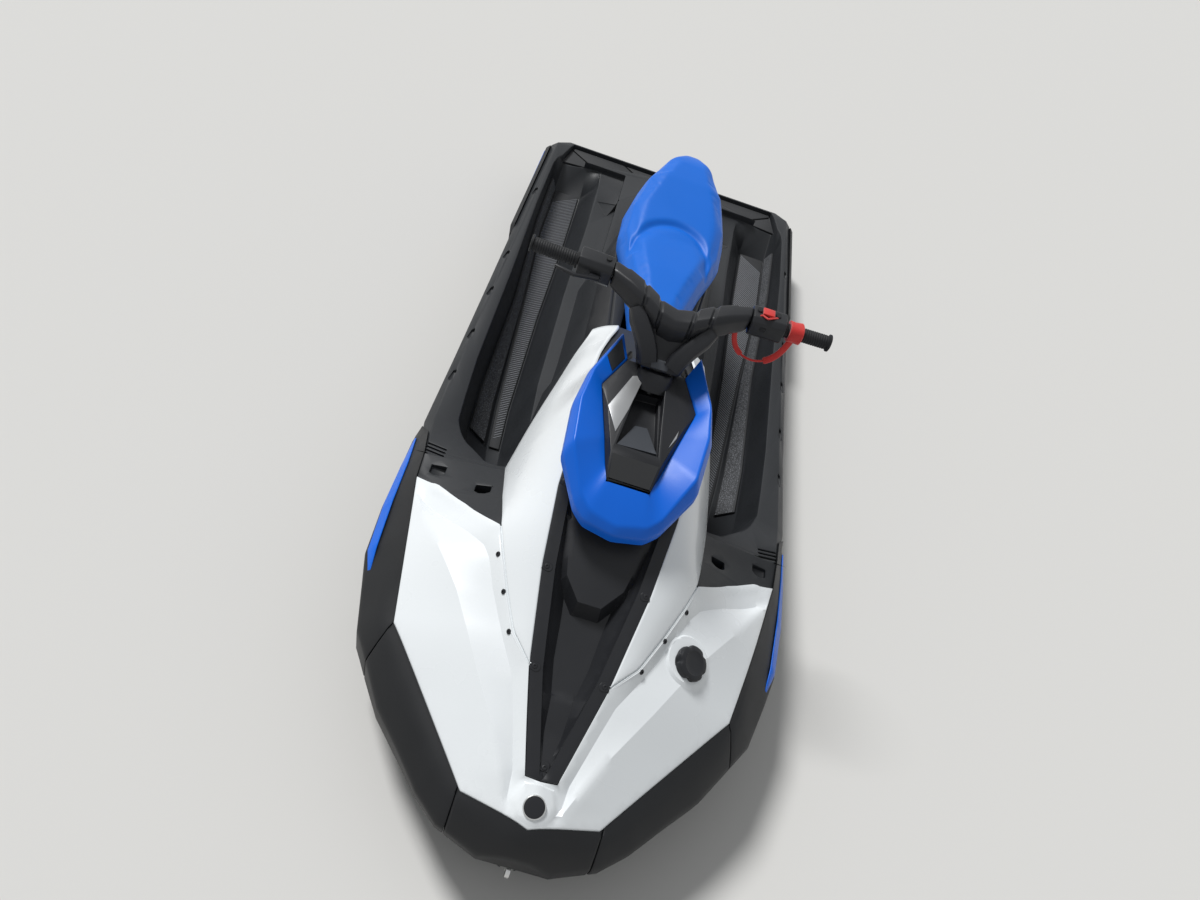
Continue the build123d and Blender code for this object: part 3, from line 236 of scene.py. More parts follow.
# Handlebar cover: y, x, z, half width, half height
COVER = [
    (0.0, 440.0, 886.0, 38.0, 36.0),
    (36.0, 434.0, 890.0, 40.0, 38.0),
    (41.0, 432.0, 892.0, 36.0, 34.0),
    (45.0, 431.0, 893.0, 36.0, 34.0),
    (51.0, 429.0, 894.0, 43.0, 41.0),
    (80.0, 414.5, 905.0, 42.0, 39.0),
    (86.0, 411.5, 907.5, 36.0, 33.0),
    (90.0, 409.5, 909.0, 36.0, 33.0),
    (96.0, 407.0, 911.0, 41.0, 37.0),
    (134.0, 392.0, 922.5, 38.0, 34.0),
    (142.0, 389.0, 924.5, 34.0, 31.0),
    (170.0, 380.0, 931.5, 31.0, 28.0),
    (178.0, 378.0, 933.0, 27.0, 24.0),
]
COVER_LEAN = -0.12
COVER_LEAN_Y = 60.0
STEER_FOOT = (500.0, 770.0)
STEER_TOP = (440.0, 884.0)
ELBOW = (377.0, 173.0, 934.0)
BAR_TIP = (370.0, 390.0, 936.0)
GRIP_START_Y = 268.0
# A grip: distance and radius of its head, of one rib and, back from the bar's tip, of its end flange
GRIP_HEAD = ((0.0, 13.0), (0.0, 21.0), (5.0, 21.0), (7.0, 17.4))
GRIP_RIB = ((0.0, 17.2), (1.2, 18.2), (3.6, 18.2), (4.8, 17.2))
GRIP_RIB_PITCH = 6.0
GRIP_RIBS_FROM = 9.0
GRIP_RIBS_END = 12.0
GRIP_TAIL = ((8.0, 17.6), (6.0, 22.0), (1.5, 22.0), (0.0, 19.0), (0.0, 6.0))
# Stem core, the plate on its front, and the boot at its foot, by distance up the steering axis:
# half width and depth; forward push and half width; radius
STEM_CORE = ((20.0, 57.0, 33.0), (26.0, 59.0, 35.0), (44.0, 54.0, 33.0), (60.0, 46.0, 24.0), (128.0, 70.0, 24.0))
STEM_PLATE = ((24.0, 34.0, 20.0), (26.0, 36.0, 21.0), (46.0, 32.0, 25.0), (48.0, 30.0, 24.0))
BOOT = ((-34.0, 50.0), (-4.0, 48.0), (6.0, 45.0), (12.0, 41.0), (14.0, 34.0), (14.5, 20.0))
AXLE = (-48.0, 22.0)
AXLE_R = 18.5
# The arms that fork out from the core: x, y, z, half width, half depth
STEM_ARM = [(507.0, 33.0, 811.0, 24.0, 26.0), (495.0, 41.0, 831.0, 24.0, 31.0), (478.0, 58.0, 856.0, 23.0, 30.0),
            (454.0, 84.0, 884.0, 22.0, 27.0), (436.0, 100.0, 902.0, 16.0, 20.0)]
# The lanyard's route, as in the part's source
LANYARD = [(373.0, 298.0, 914.0), (384.0, 291.0, 880.0), (400.0, 263.0, 846.0), (406.0, 221.0, 834.0),
           (402.0, 181.0, 846.0), (390.0, 159.0, 874.0), (384.0, 153.0, 910.0)]
CORD_R = 3.0
# Straps on parts of the cord: name, start and end as shares of its length, half width
STRAPS = (("wrist", 0.0, 0.36, 8.5), ("clip", 0.66, 0.97, 7.0))
STRAP_HALF_T = 4.0
# The red tab on the stop switch: half width and thickness, and the corners of its loop
TAB_HALF = (2.6, 2.2)
TAB = [(392.0, 196.0, 962.0), (392.0, 200.0, 967.0), (402.0, 214.0, 968.0), (392.0, 228.0, 968.0),
       (380.0, 240.0, 964.0)]
# The red band wrapped round the port grip: y, radius
WRAP = ((279.0, 19.0), (279.0, 23.0), (281.0, 24.5), (294.0, 23.5), (311.0, 25.5), (313.0, 24.0), (313.0, 19.0))
# Push buttons: places on the tops of the housings and on the face of the left one
TOP_BUTTONS = ((371.0, 194.0, 963.0), (371.0, 242.0, 963.0), (371.0, -196.0, 963.0))
FACE_BUTTON = (406.0, 212.0, 938.0)

# Footwell mat: x, y_in, y_out, z
MAT = [(-1235.0, 362.0, 474.0, 108.0), (-900.0, 354.0, 468.0, 102.0), (-400.0, 352.0, 425.0, 96.0),
       (100.0, 338.0, 388.0, 98.0), (290.0, 324.0, 368.0, 104.0)]
MAT_X = (MAT[0][0], MAT[-1][0])
MAT_T = 8.0
MAT_RIM = 9.0
RIB_SLANT = 0.9
# A rib's section from under the mat's face up: height, half width. Then the rows' first x, their spare length aft and
# ahead, and the width that a first guess takes
RIB = ((-1.0, 1.8), (0.5, 1.8), (1.6, 1.0))
RIB_START = 14.0
RIB_SPARE = 60.0
RIB_END = 10.0
RIB_ACROSS = 80.0
# The wedge panel on the footwell's outer wall: its y at the rows of MAT, its rise, and the share of it that is covered
WEDGE_Y = (500.0, 494.0, 460.0, 454.0, 440.0)
WEDGE_RISE = 62.0
WEDGE_SPAN = (0.26, 0.88)
WEDGE_SKIN = (0.8 * MAT_T, MAT_T + 1.2)

# Eyes, and the pump's flange
BOW_X = 1498.0
BOW_EYE_Z = 126.0
TRANSOM_X = -1400.0
STERN_EYE = (310.0, 40.0)
EYE_PLATE_T = 5.0
EYE_BOLT = 20.0
BUCKET_PIVOT = (-1345.0, -75.0)
BUCKET_NUT_Y = 103.5
BUCKET_NUT_SIZE = (2.0, 2.0, 2.0)
PUMP_Z = -92.0
# The flange's section: x, radius
FLANGE = ((-1290.0, 80.0), (-1290.0, 96.0), (-1289.0, 97.0), (-1278.0, 97.0), (-1278.0, 80.0))
FLANGE_BOLTS = 6
FLANGE_BOLT_R = 90.0

# Cut-outs in the black deck, on the port side: plan outlines about each place, and heights
GUNWALE = [(-1420.0, 230.0), (-700.0, 256.0), (100.0, 280.0), (430.0, 304.0)]
PIT_CORNER = (740.0, 150.0)
PIT_Z = (240.0, 900.0)
HOOK_X = (-980.0, -493.0, -256.0, -7.0, 214.0)
HOOK_Y = 536.0
HOOK_PLAN = [(-26.0, -13.0), (20.0, -13.0), (27.0, -5.0), (10.0, 3.0), (-26.0, -3.0)]
VENT_X = (556.0, 573.0, 590.0)
VENT_PLAN = [(0.0, 508.0), (7.0, 508.0), (15.0, 452.0), (8.0, 452.0)]
RECESSES = ((662.0, 452.0, 350.0), (716.0, 322.0, 370.0))
RECESS_PLAN = [(-16.0, -20.0), (10.0, -20.0), (18.0, -8.0), (18.0, 8.0), (10.0, 20.0), (-16.0, 20.0)]
FRONT_CUT_TOP = 460.0
SLOT_PLAN = [(-1204.0, 450.0), (-1180.0, 500.0), (-1196.0, 505.0), (-1222.0, 452.0)]

# Light: the sun's energy, spread in degrees and direction, then the sky's strength, and what is added to it where
# mirror images and the camera see it
SUN_ENERGY = 2.8
SUN_SPREAD = 14.0
SUN_WAY = (2.0, 2.6, -4.6)
SKY = 0.35
SKY_IN_MIRRORS = 0.30
SKY_BEHIND = 0.38
FLOOR_HALF_M = 60.0


def srgb(code):
    """A linear colour with alpha from an sRGB hex code."""
    parts = [int(code[i:i + 2], 16) / 255 for i in (1, 3, 5)]
    return [c / 12.92 if c <= 0.04045 else ((c + 0.055) / 1.055) ** 2.4 for c in parts] + [1.0]


def colour(name, code, about):
    return FloatVectorProperty(name=name, description=about, default=srgb(code)[:3], subtype="COLOR", min=0.0, max=1.0)


def length(name, value, about):
    return FloatProperty(name=name, description=about, default=value * MM, unit="LENGTH", subtype="DISTANCE")


class WatercraftColours(bpy.types.PropertyGroup):
    """Colours of the finishes."""
    gelcoat: colour("Gelcoat", "#E9EDEF", "White gelcoat of the front deck and side cowls")
    blue: colour("Blue plastic", "#0464D6", "Moulded collar and stripes")
    vinyl: colour("Seat vinyl", "#0068D2", "Marine vinyl of the seat")
    bumper: colour("Bumper", "#1A1B1D", "Moulded rubber bumpers")
    deck: colour("Deck plastic", "#232528", "Moulded deck, footwells and gunwales")
    trim: colour("Trim", "#222326", "Hood, console and handlebar cover")
    mat: colour("Mats", "#2E2F31", "Foam mats of the footwells and platform")
    red: colour("Lanyard", "#C71A12", "Nylon lanyard and its wrist band")
    floor: colour("Floor", "#D4D3D0", "Plain floor at the waterline")


class WatercraftSizes(bpy.types.PropertyGroup):
    """Sizes that a maker would change."""
    grid: length("Panel grid", 11.0, "Mesh spacing on the moulded front panels")
    edge: length("Panel edge", 3.0, "Rounding on the edges of the front panels")
    screw: length("Screw radius", 6.5, "Head radius of the panel screws")
    bumper_edge: length("Bumper edge", 9.0, "Rounding on the bumpers")
    rib_pitch: length("Mat rib pitch", 12.0, "Distance between the ribs on the footwell mats")
    seat_voxel: length("Seat voxel", 6.0, "Remesh size of the seat before its cover is stretched")
    seat_frames: IntProperty(name="Seat frames", description="Frames of the cover's simulation", default=14, min=1)


# Materials

MATERIAL = {}


def add(tree, kind, sockets=None, **settings):
    """One node with its settings; a socket takes a value or a link from another socket."""
    new = tree.nodes.new(kind)
    for key, value in settings.items():
        setattr(new, key, value)
    for key, value in (sockets or {}).items():
        if isinstance(value, bpy.types.NodeSocket):
            tree.links.new(value, new.inputs[key])
        else:
            new.inputs[key].default_value = value
    return new


def open_material(name):
    """A material with an empty tree, and the object's own coordinates in metres."""
    made = bpy.data.materials.new(name)
    made.use_nodes = True
    made.node_tree.nodes.clear()
    where = add(made.node_tree, "ShaderNodeTexCoord").outputs["Object"]
    return made, made.node_tree, where


def close_material(made, slot, sockets):
    """The shader and output of a material, kept under its slot."""
    tree = made.node_tree
    shader = add(tree, "ShaderNodeBsdfPrincipled", sockets)
    add(tree, "ShaderNodeOutputMaterial", {"Surface": shader.outputs[0]})
    MATERIAL[slot] = made


def tinted(tree, where, rgb, spread, patch_mm):
    """A colour that wanders a little over patches of a real size, as dust and handling make it."""
    cloud = add(tree, "ShaderNodeTexNoise", {
        "Vector": where, "Scale": 1000.0 / patch_mm, "Detail": 4.0, "Roughness": 0.6})
    dark = [c * (1.0 - spread) for c in rgb] + [1.0]
    light = [min(1.0, c * (1.0 + spread) + 0.02 * spread) for c in rgb] + [1.0]
    return add(tree, "ShaderNodeMix", {0: cloud.outputs["Fac"], 6: dark, 7: light}, data_type="RGBA").outputs[2], cloud


def spread_of(tree, source, low, high):
    """A grey pattern stretched between two values."""
    return add(tree, "ShaderNodeMapRange", {"Value": source, "From Min": 0.3, "From Max": 0.7,
                                            "To Min": low, "To Max": high}).outputs[0]


def bumped(tree, height, depth_mm):
    return add(tree, "ShaderNodeBump", {"Height": height, "Distance": depth_mm * MM, "Strength": 1.0}).outputs[0]


def moulded(slot, name, rgb, rough, grain_mm, depth_mm, spread=0.08, **sockets):
    """A moulded plastic or rubber: the mould's etched grain shows as tiny pits between soft bumps."""
    made, tree, where = open_material(name)
    base, cloud = tinted(tree, where, rgb, spread, 160.0)
    grain = add(tree, "ShaderNodeTexVoronoi", {"Vector": where, "Scale": 1000.0 / grain_mm})
    fine = add(tree, "ShaderNodeTexNoise", {"Vector": where, "Scale": 2500.0 / grain_mm, "Detail": 2.0})
    both = add(tree, "ShaderNodeMath", {0: grain.outputs["Distance"], 1: fine.outputs["Fac"]}, operation="ADD")
    values = {"Base Color": base, "Roughness": spread_of(tree, cloud.outputs["Fac"], rough - 0.05, rough + 0.06),
              "IOR": 1.49, "Specular IOR Level": 0.3, "Normal": bumped(tree, both.outputs[0], depth_mm)}
    values.update({key.replace("_", " "): value for key, value in sockets.items()})
    close_material(made, slot, values)


def gelcoat(rgb):
    """Sprayed polyester gelcoat: hard and glossy over a faint orange peel, with soft mirror images."""
    made, tree, where = open_material("white sprayed gelcoat")
    base, cloud = tinted(tree, where, rgb, 0.02, 240.0)
    peel = add(tree, "ShaderNodeTexNoise", {"Vector": where, "Scale": 1000.0 / 5.0, "Detail": 1.0})
    close_material(made, "white_gelcoat", {
        "Base Color": base, "Roughness": spread_of(tree, cloud.outputs["Fac"], 0.24, 0.32), "IOR": 1.53,
        "Coat Weight": 0.35, "Coat Roughness": 0.12, "Normal": bumped(tree, peel.outputs["Fac"], 0.05)})


def vinyl(rgb):
    """Marine vinyl: soft sheen, and a pressed leather grain of cells about 1.6 mm across."""
    made, tree, where = open_material("blue marine vinyl")
    base, cloud = tinted(tree, where, rgb, 0.05, 220.0)
    cells = add(tree, "ShaderNodeTexVoronoi", {"Vector": where, "Scale": 1000.0 / 1.6}, feature="DISTANCE_TO_EDGE")
    fine = add(tree, "ShaderNodeTexNoise", {"Vector": where, "Scale": 1000.0 / 0.9, "Detail": 3.0})
    mixed = add(tree, "ShaderNodeMath", {0: cells.outputs["Distance"], 1: fine.outputs["Fac"], 2: 0.2},
                operation="MULTIPLY_ADD")
    close_material(made, "blue_vinyl", {
        "Base Color": base, "Roughness": spread_of(tree, cloud.outputs["Fac"], 0.40, 0.50), "IOR": 1.5,
        "Specular IOR Level": 0.3, "Normal": bumped(tree, mixed.outputs[0], 0.25)})


def foam_mat(slot, name, rgb):
    """Closed-cell foam: matt, with fine open cells and dust in them."""
    made, tree, where = open_material(name)
    base, cloud = tinted(tree, where, rgb, 0.14, 90.0)
    cell = add(tree, "ShaderNodeTexNoise", {"Vector": where, "Scale": 1000.0 / 1.5, "Detail": 2.0})
    close_material(made, slot, {
        "Base Color": base, "Roughness": spread_of(tree, cloud.outputs["Fac"], 0.68, 0.8), "IOR": 1.45,
        "Normal": bumped(tree, cell.outputs["Fac"], 0.4)})


def knit_with_painted_light(slot, name, rgb):
    """Foam pressed with a knit of small loops, about 7 mm apart, with painted shade in the hollows between them and
    painted light on their tops.
    """
    made, tree, where = open_material(name)
    base, cloud = tinted(tree, where, rgb, 0.2, 60.0)
    loops = add(tree, "ShaderNodeTexVoronoi", {"Vector": where, "Scale": 1000.0 / 7.0}, feature="DISTANCE_TO_EDGE")
    # Painted shade in the hollows between the loops and painted light on their tops, scaling the colour
    top = add(tree, "ShaderNodeMapRange", {"Value": loops.outputs["Distance"], "From Min": 0.05, "From Max": 0.3,
                                           "To Min": 0.35, "To Max": 1.3})
    tone = add(tree, "ShaderNodeVectorMath", {0: base, 3: top.outputs[0]}, operation="SCALE")
    close_material(made, slot, {
        "Base Color": tone.outputs[0], "Roughness": spread_of(tree, cloud.outputs["Fac"], 0.6, 0.75), "IOR": 1.45,
        "Normal": bumped(tree, loops.outputs["Distance"], 1.2)})


def brushed(slot, name, rgb, rough, stretch):
    """Stainless steel finished with a belt: fine scratches run one way and stretch its highlights."""
    made, tree, where = open_material(name)
    drawn = add(tree, "ShaderNodeMapping", {"Vector": where, "Scale": stretch})
    lines = add(tree, "ShaderNodeTexNoise", {"Vector": drawn.outputs[0], "Scale": 1.0, "Detail": 3.0})
    close_material(made, slot, {
        "Base Color": list(rgb) + [1.0], "Metallic": 1.0,
        "Roughness": spread_of(tree, lines.outputs["Fac"], rough - 0.06, rough + 0.08),
        "Normal": bumped(tree, lines.outputs["Fac"], 0.03)})


def cast(slot, name, rgb, rough, grain_mm):
    """Sand-cast aluminium: a dull grey metal with the mould's pebbled skin."""
    made, tree, where = open_material(name)
    base, cloud = tinted(tree, where, rgb, 0.12, 60.0)
    skin_grain = add(tree, "ShaderNodeTexNoise", {"Vector": where, "Scale": 1000.0 / grain_mm, "Detail": 4.0})
    close_material(made, slot, {
        "Base Color": base, "Metallic": 0.9,
        "Roughness": spread_of(tree, cloud.outputs["Fac"], rough - 0.05, rough + 0.1),
        "Normal": bumped(tree, skin_grain.outputs["Fac"], 0.2)})


def webbing(slot, name, rgb, pitch_mm):
    """Woven nylon: two sets of threads over and under each other, with a little sheen."""
    made, tree, where = open_material(name)
    base, _ = tinted(tree, where, rgb, 0.15, 25.0)
    threads = [add(tree, "ShaderNodeTexWave", {"Vector": where, "Scale": 1000.0 / pitch_mm / (2.0 * pi)},
                   bands_direction=way).outputs["Fac"] for way in ("DIAGONAL", "Z")]
    cloth = add(tree, "ShaderNodeMath", {0: threads[0], 1: threads[1]}, operation="MULTIPLY")
    close_material(made, slot, {
        "Base Color": base, "Roughness": 0.6, "IOR": 1.53, "Sheen Weight": 0.3,
        "Normal": bumped(tree, cloth.outputs[0], 0.3)})


def glass_panel():
    """Hard-coated acrylic over a dark screen: nearly black, with clear mirror images."""
    made, tree, where = open_material("coated acrylic screen")
    smear = add(tree, "ShaderNodeTexNoise", {"Vector": where, "Scale": 1000.0 / 30.0, "Detail": 3.0})
    close_material(made, "display_glass", {
        "Base Color": srgb("#0B0D10"), "Roughness": spread_of(tree, smear.outputs["Fac"], 0.06, 0.14), "IOR": 1.49,
        "Coat Weight": 0.5, "Coat Roughness": 0.04})


def make_materials(tones):
    gelcoat(tones.gelcoat)
    vinyl(tones.vinyl)
    foam_mat("mat_rubber", "closed-cell foam mat", tones.mat)
    # Knit foam of the wedges, 3.8 times lighter than the mat: painted light, as on faces turned to the sun
    knit_with_painted_light("mat_knit_painted_light", "knit-pressed foam with painted light", [3.8 * c for c in tones.mat])
    # The foam's raised ribs, given a lighter copy of the mat's foam: painted light on their tops
    foam_mat("mat_ribs", "foam ribs with painted light", [7.0 * c for c in tones.mat])
    # Polypropylene with its colour moulded in: satin, with a fine etched grain
    moulded("blue_plastic", "blue moulded polypropylene", tones.blue, 0.34, 0.9, 0.03, 0.04)
    # Thermoplastic rubber, grained to hide scuffs, with a grey bloom
    moulded("bumper_rubber", "grained bumper rubber", tones.bumper, 0.52, 1.4, 0.12, 0.16)
    # Moulded deck with a pebbled non-slip skin
    moulded("deck_plastic", "pebbled deck plastic", tones.deck, 0.46, 1.8, 0.12, 0.14)
    moulded("hull_plastic", "black moulded hull", tones.bumper, 0.32, 4.0, 0.04, 0.06)
    # Painted satin plastic of the hood, console and handlebar cover
    moulded("dark_trim", "satin trim plastic", tones.trim, 0.38, 1.0, 0.05, 0.10)
    # Metallic paint and high-gloss plastic of the console's inlays
    moulded("silver_trim", "silver metallic paint", srgb("#A4A5A6")[:3], 0.34, 1.0, 0.02, 0.04, Metallic=0.5)
    moulded("grey_trim", "polished grey plastic", srgb("#4A4D52")[:3], 0.22, 1.0, 0.02, 0.06)
    # Soft grip rubber with a matt bloom
    moulded("grip_rubber", "grip rubber", tones.bumper, 0.60, 2.2, 0.25, 0.10)
    # Powder coat on steel tube: its flow leaves a fine orange peel
    moulded("bar_metal", "powder-coated steel tube", tones.trim, 0.36, 2.4, 0.04, 0.04)
    brushed("stainless", "belt-brushed stainless steel", (0.62, 0.62, 0.61), 0.28, (60.0, 900.0, 900.0))
    cast("cast_aluminium", "anodised cast aluminium", (0.42, 0.42, 0.43), 0.42, 3.0)
    cast("cast_engine", "sand-cast engine block", (0.33, 0.33, 0.34), 0.55, 4.0)
    webbing("red_band", "red woven wrist band", tones.red, 1.2)
    webbing("red_cord", "red braided cord", tones.red, 1.6)
    glass_panel()
    for node, obj in frame["nodes"].items():
        obj.data.materials.clear()
        obj.data.materials.append(MATERIAL[SLOT[node]])


# Plan geometry, in millimetres

def whole(outline):
    """A mirrored plan outline from its port half, given from bow to stern."""
    return outline + [(x, -y) for x, y in reversed(outline) if y > 0.0]


def mirrored(points):
    return [(x, -y) for x, y in points]


def spaced(points, step, closed):
    """A line's points with others between them, no further apart than the step."""
    out = []
    pairs = list(zip(points, points[1:] + points[:1])) if closed else list(zip(points, points[1:]))
    for (x0, y0), (x1, y1) in pairs:
        count = max(1, round(sqrt((x1 - x0) ** 2 + (y1 - y0) ** 2) / step))
        out += [(x0 + (x1 - x0) * i / count, y0 + (y1 - y0) * i / count) for i in range(count)]
    return out if closed else out + [points[-1]]


def inset(polygon, distance):
    """The polygon moved inwards by a distance."""
    area = sum(a[0] * b[1] - b[0] * a[1] for a, b in zip(polygon, polygon[1:] + polygon[:1]))
    side = 1.0 if area > 0.0 else -1.0
    out = []
    for before, here, after in zip(polygon[-1:] + polygon[:-1], polygon, polygon[1:] + polygon[:1]):
        a = (Vector(here) - Vector(before)).normalized()
        b = (Vector(after) - Vector(here)).normalized()
        normal = Vector((-a.y - b.y, a.x + b.x)) * side
        normal.normalize()
        share = max(0.4, normal.dot(Vector((-a.y, a.x)) * side))
        out.append(tuple(Vector(here) + normal * (distance / share)))
    return out


def circle(centre, radius, count=40):
    return [(centre[0] + radius * cos(2 * pi * i / count), centre[1] + radius * sin(2 * pi * i / count))
            for i in range(count)]


def reach(p, line, closed=False):
    """The distance of each point from a plan line."""
    ends = np.array(line + line[:1] if closed else line)
    a, b = ends[:-1], ends[1:]
    along = b - a
    gap = p[:, None, :] - a[None]
    share = np.clip((gap * along).sum(2) / (along * along).sum(1), 0.0, 1.0)
    return np.sqrt(((gap - share[..., None] * along) ** 2).sum(2)).min(1)


def inside(p, polygon):
    """Whether each point lies in a plan polygon."""
    corners = np.array(polygon)
    hit = np.zeros(len(p), bool)
    for (x0, y0), (x1, y1) in zip(corners, np.roll(corners, -1, 0)):
        if y0 == y1:
            continue
        cross = (y0 > p[:, 1]) != (y1 > p[:, 1])
        hit ^= cross & (p[:, 0] < (x1 - x0) * (p[:, 1] - y0) / (y1 - y0) + x0)
    return hit


def ease(share):
    share = np.clip(share, 0.0, 1.0)
    return share * share * (3.0 - 2.0 * share)


def lookup(table, x, column=1):
    """One column of a table or plan line at each x, on straight lines through its rows."""
    rows = sorted(table)
    return np.interp(x, [row[0] for row in rows], [row[column] for row in rows])


def rows_at(table, x):
    """All columns of a station table at each x, on smooth curves through its rows."""
    rows = np.array(table)
    knots, values = rows[:, 0], rows[:, 1:]
    x = np.clip(x, knots[0], knots[-1])
    gaps = np.diff(knots)[:, None]
    rise = np.diff(values, axis=0) / gaps
    slope = np.zeros_like(values)
    same = rise[:-1] * rise[1:] > 0.0
    both = np.where(same, rise[:-1] + rise[1:], 1.0)
    slope[1:-1] = np.where(same, 2.0 * rise[:-1] * rise[1:] / both, 0.0)
    slope[0], slope[-1] = rise[0], rise[-1]
    i = np.clip(np.searchsorted(knots, x, "right") - 1, 0, len(knots) - 2)
    h = gaps[i]
    s = (x - knots[i])[:, None] / h
    return (values[i] * (1 + 2 * s) * (1 - s) ** 2 + slope[i] * h * s * (1 - s) ** 2
            + values[i + 1] * s * s * (3 - 2 * s) + slope[i + 1] * h * s * s * (s - 1))


def front_z(p):
    """Height of the front deck's outer surface."""
    row = rows_at(FRONT, p[:, 0])
    y = np.abs(p[:, 1])
    half = 0.5 * SKIN
    knots = [np.zeros(len(p)), row[:, 1] + half, row[:, 3] + half, row[:, 5], row[:, 7]]
    heights = [row[:, 0] + SKIN, row[:, 2] + SKIN, row[:, 4] + SKIN, row[:, 6] + SKIN, row[:, 8]]
    z = heights[-1].copy()
    for y0, y1, z0, z1 in zip(knots, knots[1:], heights, heights[1:]):
        here = (y >= y0) & (y <= y1)
        share = (y - y0) / np.maximum(y1 - y0, 1e-6)
        z = np.where(here, z0 + share * (z1 - z0), z)
    return z


# Mesh helpers

def solid_object(name, points, faces):
    """A new object from points in millimetres, with its faces turned outwards."""
    mesh = bpy.data.meshes.new(name)
    mesh.from_pydata([Vector(p) * MM for p in points], [], faces)
    bm = bmesh.new()
    bm.from_mesh(mesh)
    bmesh.ops.remove_doubles(bm, verts=bm.verts, dist=MERGE)
    bmesh.ops.recalc_face_normals(bm, faces=bm.faces)
    bm.to_mesh(mesh)
    bm.free()
    obj = bpy.data.objects.new(name, mesh)
    bpy.context.collection.objects.link(obj)
    return obj


def skin(name, rings, wrap=False):
    """A closed skin through rings of equal point counts."""
    count = len(rings[0])
    points = [p for ring in rings for p in ring]
    faces = []
    for row in range(len(rings) if wrap else len(rings) - 1):
        a, b = row * count, (row + 1) % len(rings) * count
        faces += [(a + i, a + (i + 1) % count, b + (i + 1) % count, b + i) for i in range(count)]
    if not wrap:
        last = (len(rings) - 1) * count
        faces += [tuple(range(count)), tuple(range(last, last + count))]
    return solid_object(name, points, faces)


def round_box(centre, across, up, a, b, power=3.0, count=32):
    """A ring of points round a centre: power 2 is an ellipse, and more is squarer."""
    centre, across, up = Vector(centre), Vector(across), Vector(up)
    ring = []
    for i in range(count):
        c, s = cos(2 * pi * i / count), sin(2 * pi * i / count)
        grow = (abs(c) ** power + abs(s) ** power) ** (-1.0 / power)
        ring.append(centre + across * (a * c * grow) + up * (b * s * grow))
    return ring


def rounded(corners, radii, steps=3):
    """A closed ring through corners, each eased off by its own radius."""
    ring = []
    for before, here, after, radius in zip(corners[-1:] + corners[:-1], corners, corners[1:] + corners[:1], radii):
        a, b, c = Vector(before), Vector(here), Vector(after)
        if not radius:
            ring.append(b)
            continue
        start = b + (a - b).normalized() * min(radius, 0.45 * (a - b).length)
        end = b + (c - b).normalized() * min(radius, 0.45 * (c - b).length)
        for i in range(steps + 1):
            t = i / steps
            ring.append(start * (1 - t) ** 2 + b * (2 * t * (1 - t)) + end * t * t)
    return ring


def cut_box(centre, across, up, a, b, corner, radius):
    """A ring with four cut corners round a centre."""
    c = corner
    flat = [(a, c - b), (a, b - c), (a - c, b), (c - a, b), (-a, b - c), (-a, c - b), (c - a, -b), (a - c, -b)]
    centre, across, up = Vector(centre), Vector(across), Vector(up)
    return [centre + across * p.x + up * p.y for p in rounded(flat, [radius] * 8, 2)]


def eased_ends(name, rows, ring_at, step, gap, edge):
    """A skin through a table of rows, with the gap of a seam and a rounded edge at both ends."""
    rows = np.array(rows)
    at = np.concatenate([[0.0], np.cumsum(np.linalg.norm(np.diff(rows[:, -3:], axis=0), axis=1))])
    full = at[-1]
    near = [gap, gap + 0.12 * edge, gap + 0.4 * edge, gap + edge]
    spots = near + [full - d for d in near] + [d for d in at if gap + edge < d < full - gap - edge]
    spots += [step * i for i in range(1, int(full / step)) if min(abs(step * i - d) for d in spots) > 0.3 * step]
    rings = []
    for spot in sorted(spots):
        ring = ring_at([float(np.interp(spot, at, column)) for column in rows.T])
        away = min(1.0, max(0.0, (min(spot, full - spot) - gap) / edge))
        drop = 0.8 * edge * (1.0 - sqrt(1.0 - (1.0 - away) ** 2))
        middle = sum(ring, Vector((0.0, 0.0, 0.0))) / len(ring)
        rings.append([p + (middle - p).normalized() * drop for p in ring])
    return skin(name, rings)


def prism(name, outline, low, high):
    """An upright solid over a plan outline, used to cut."""
    count = len(outline)
    points = [(x, y, z) for z in (low, high) for x, y in outline]
    faces = [tuple(range(count)), tuple(range(count, 2 * count))]
    faces += [(i, (i + 1) % count, count + (i + 1) % count, count + i) for i in range(count)]
    return solid_object(name, points, faces)


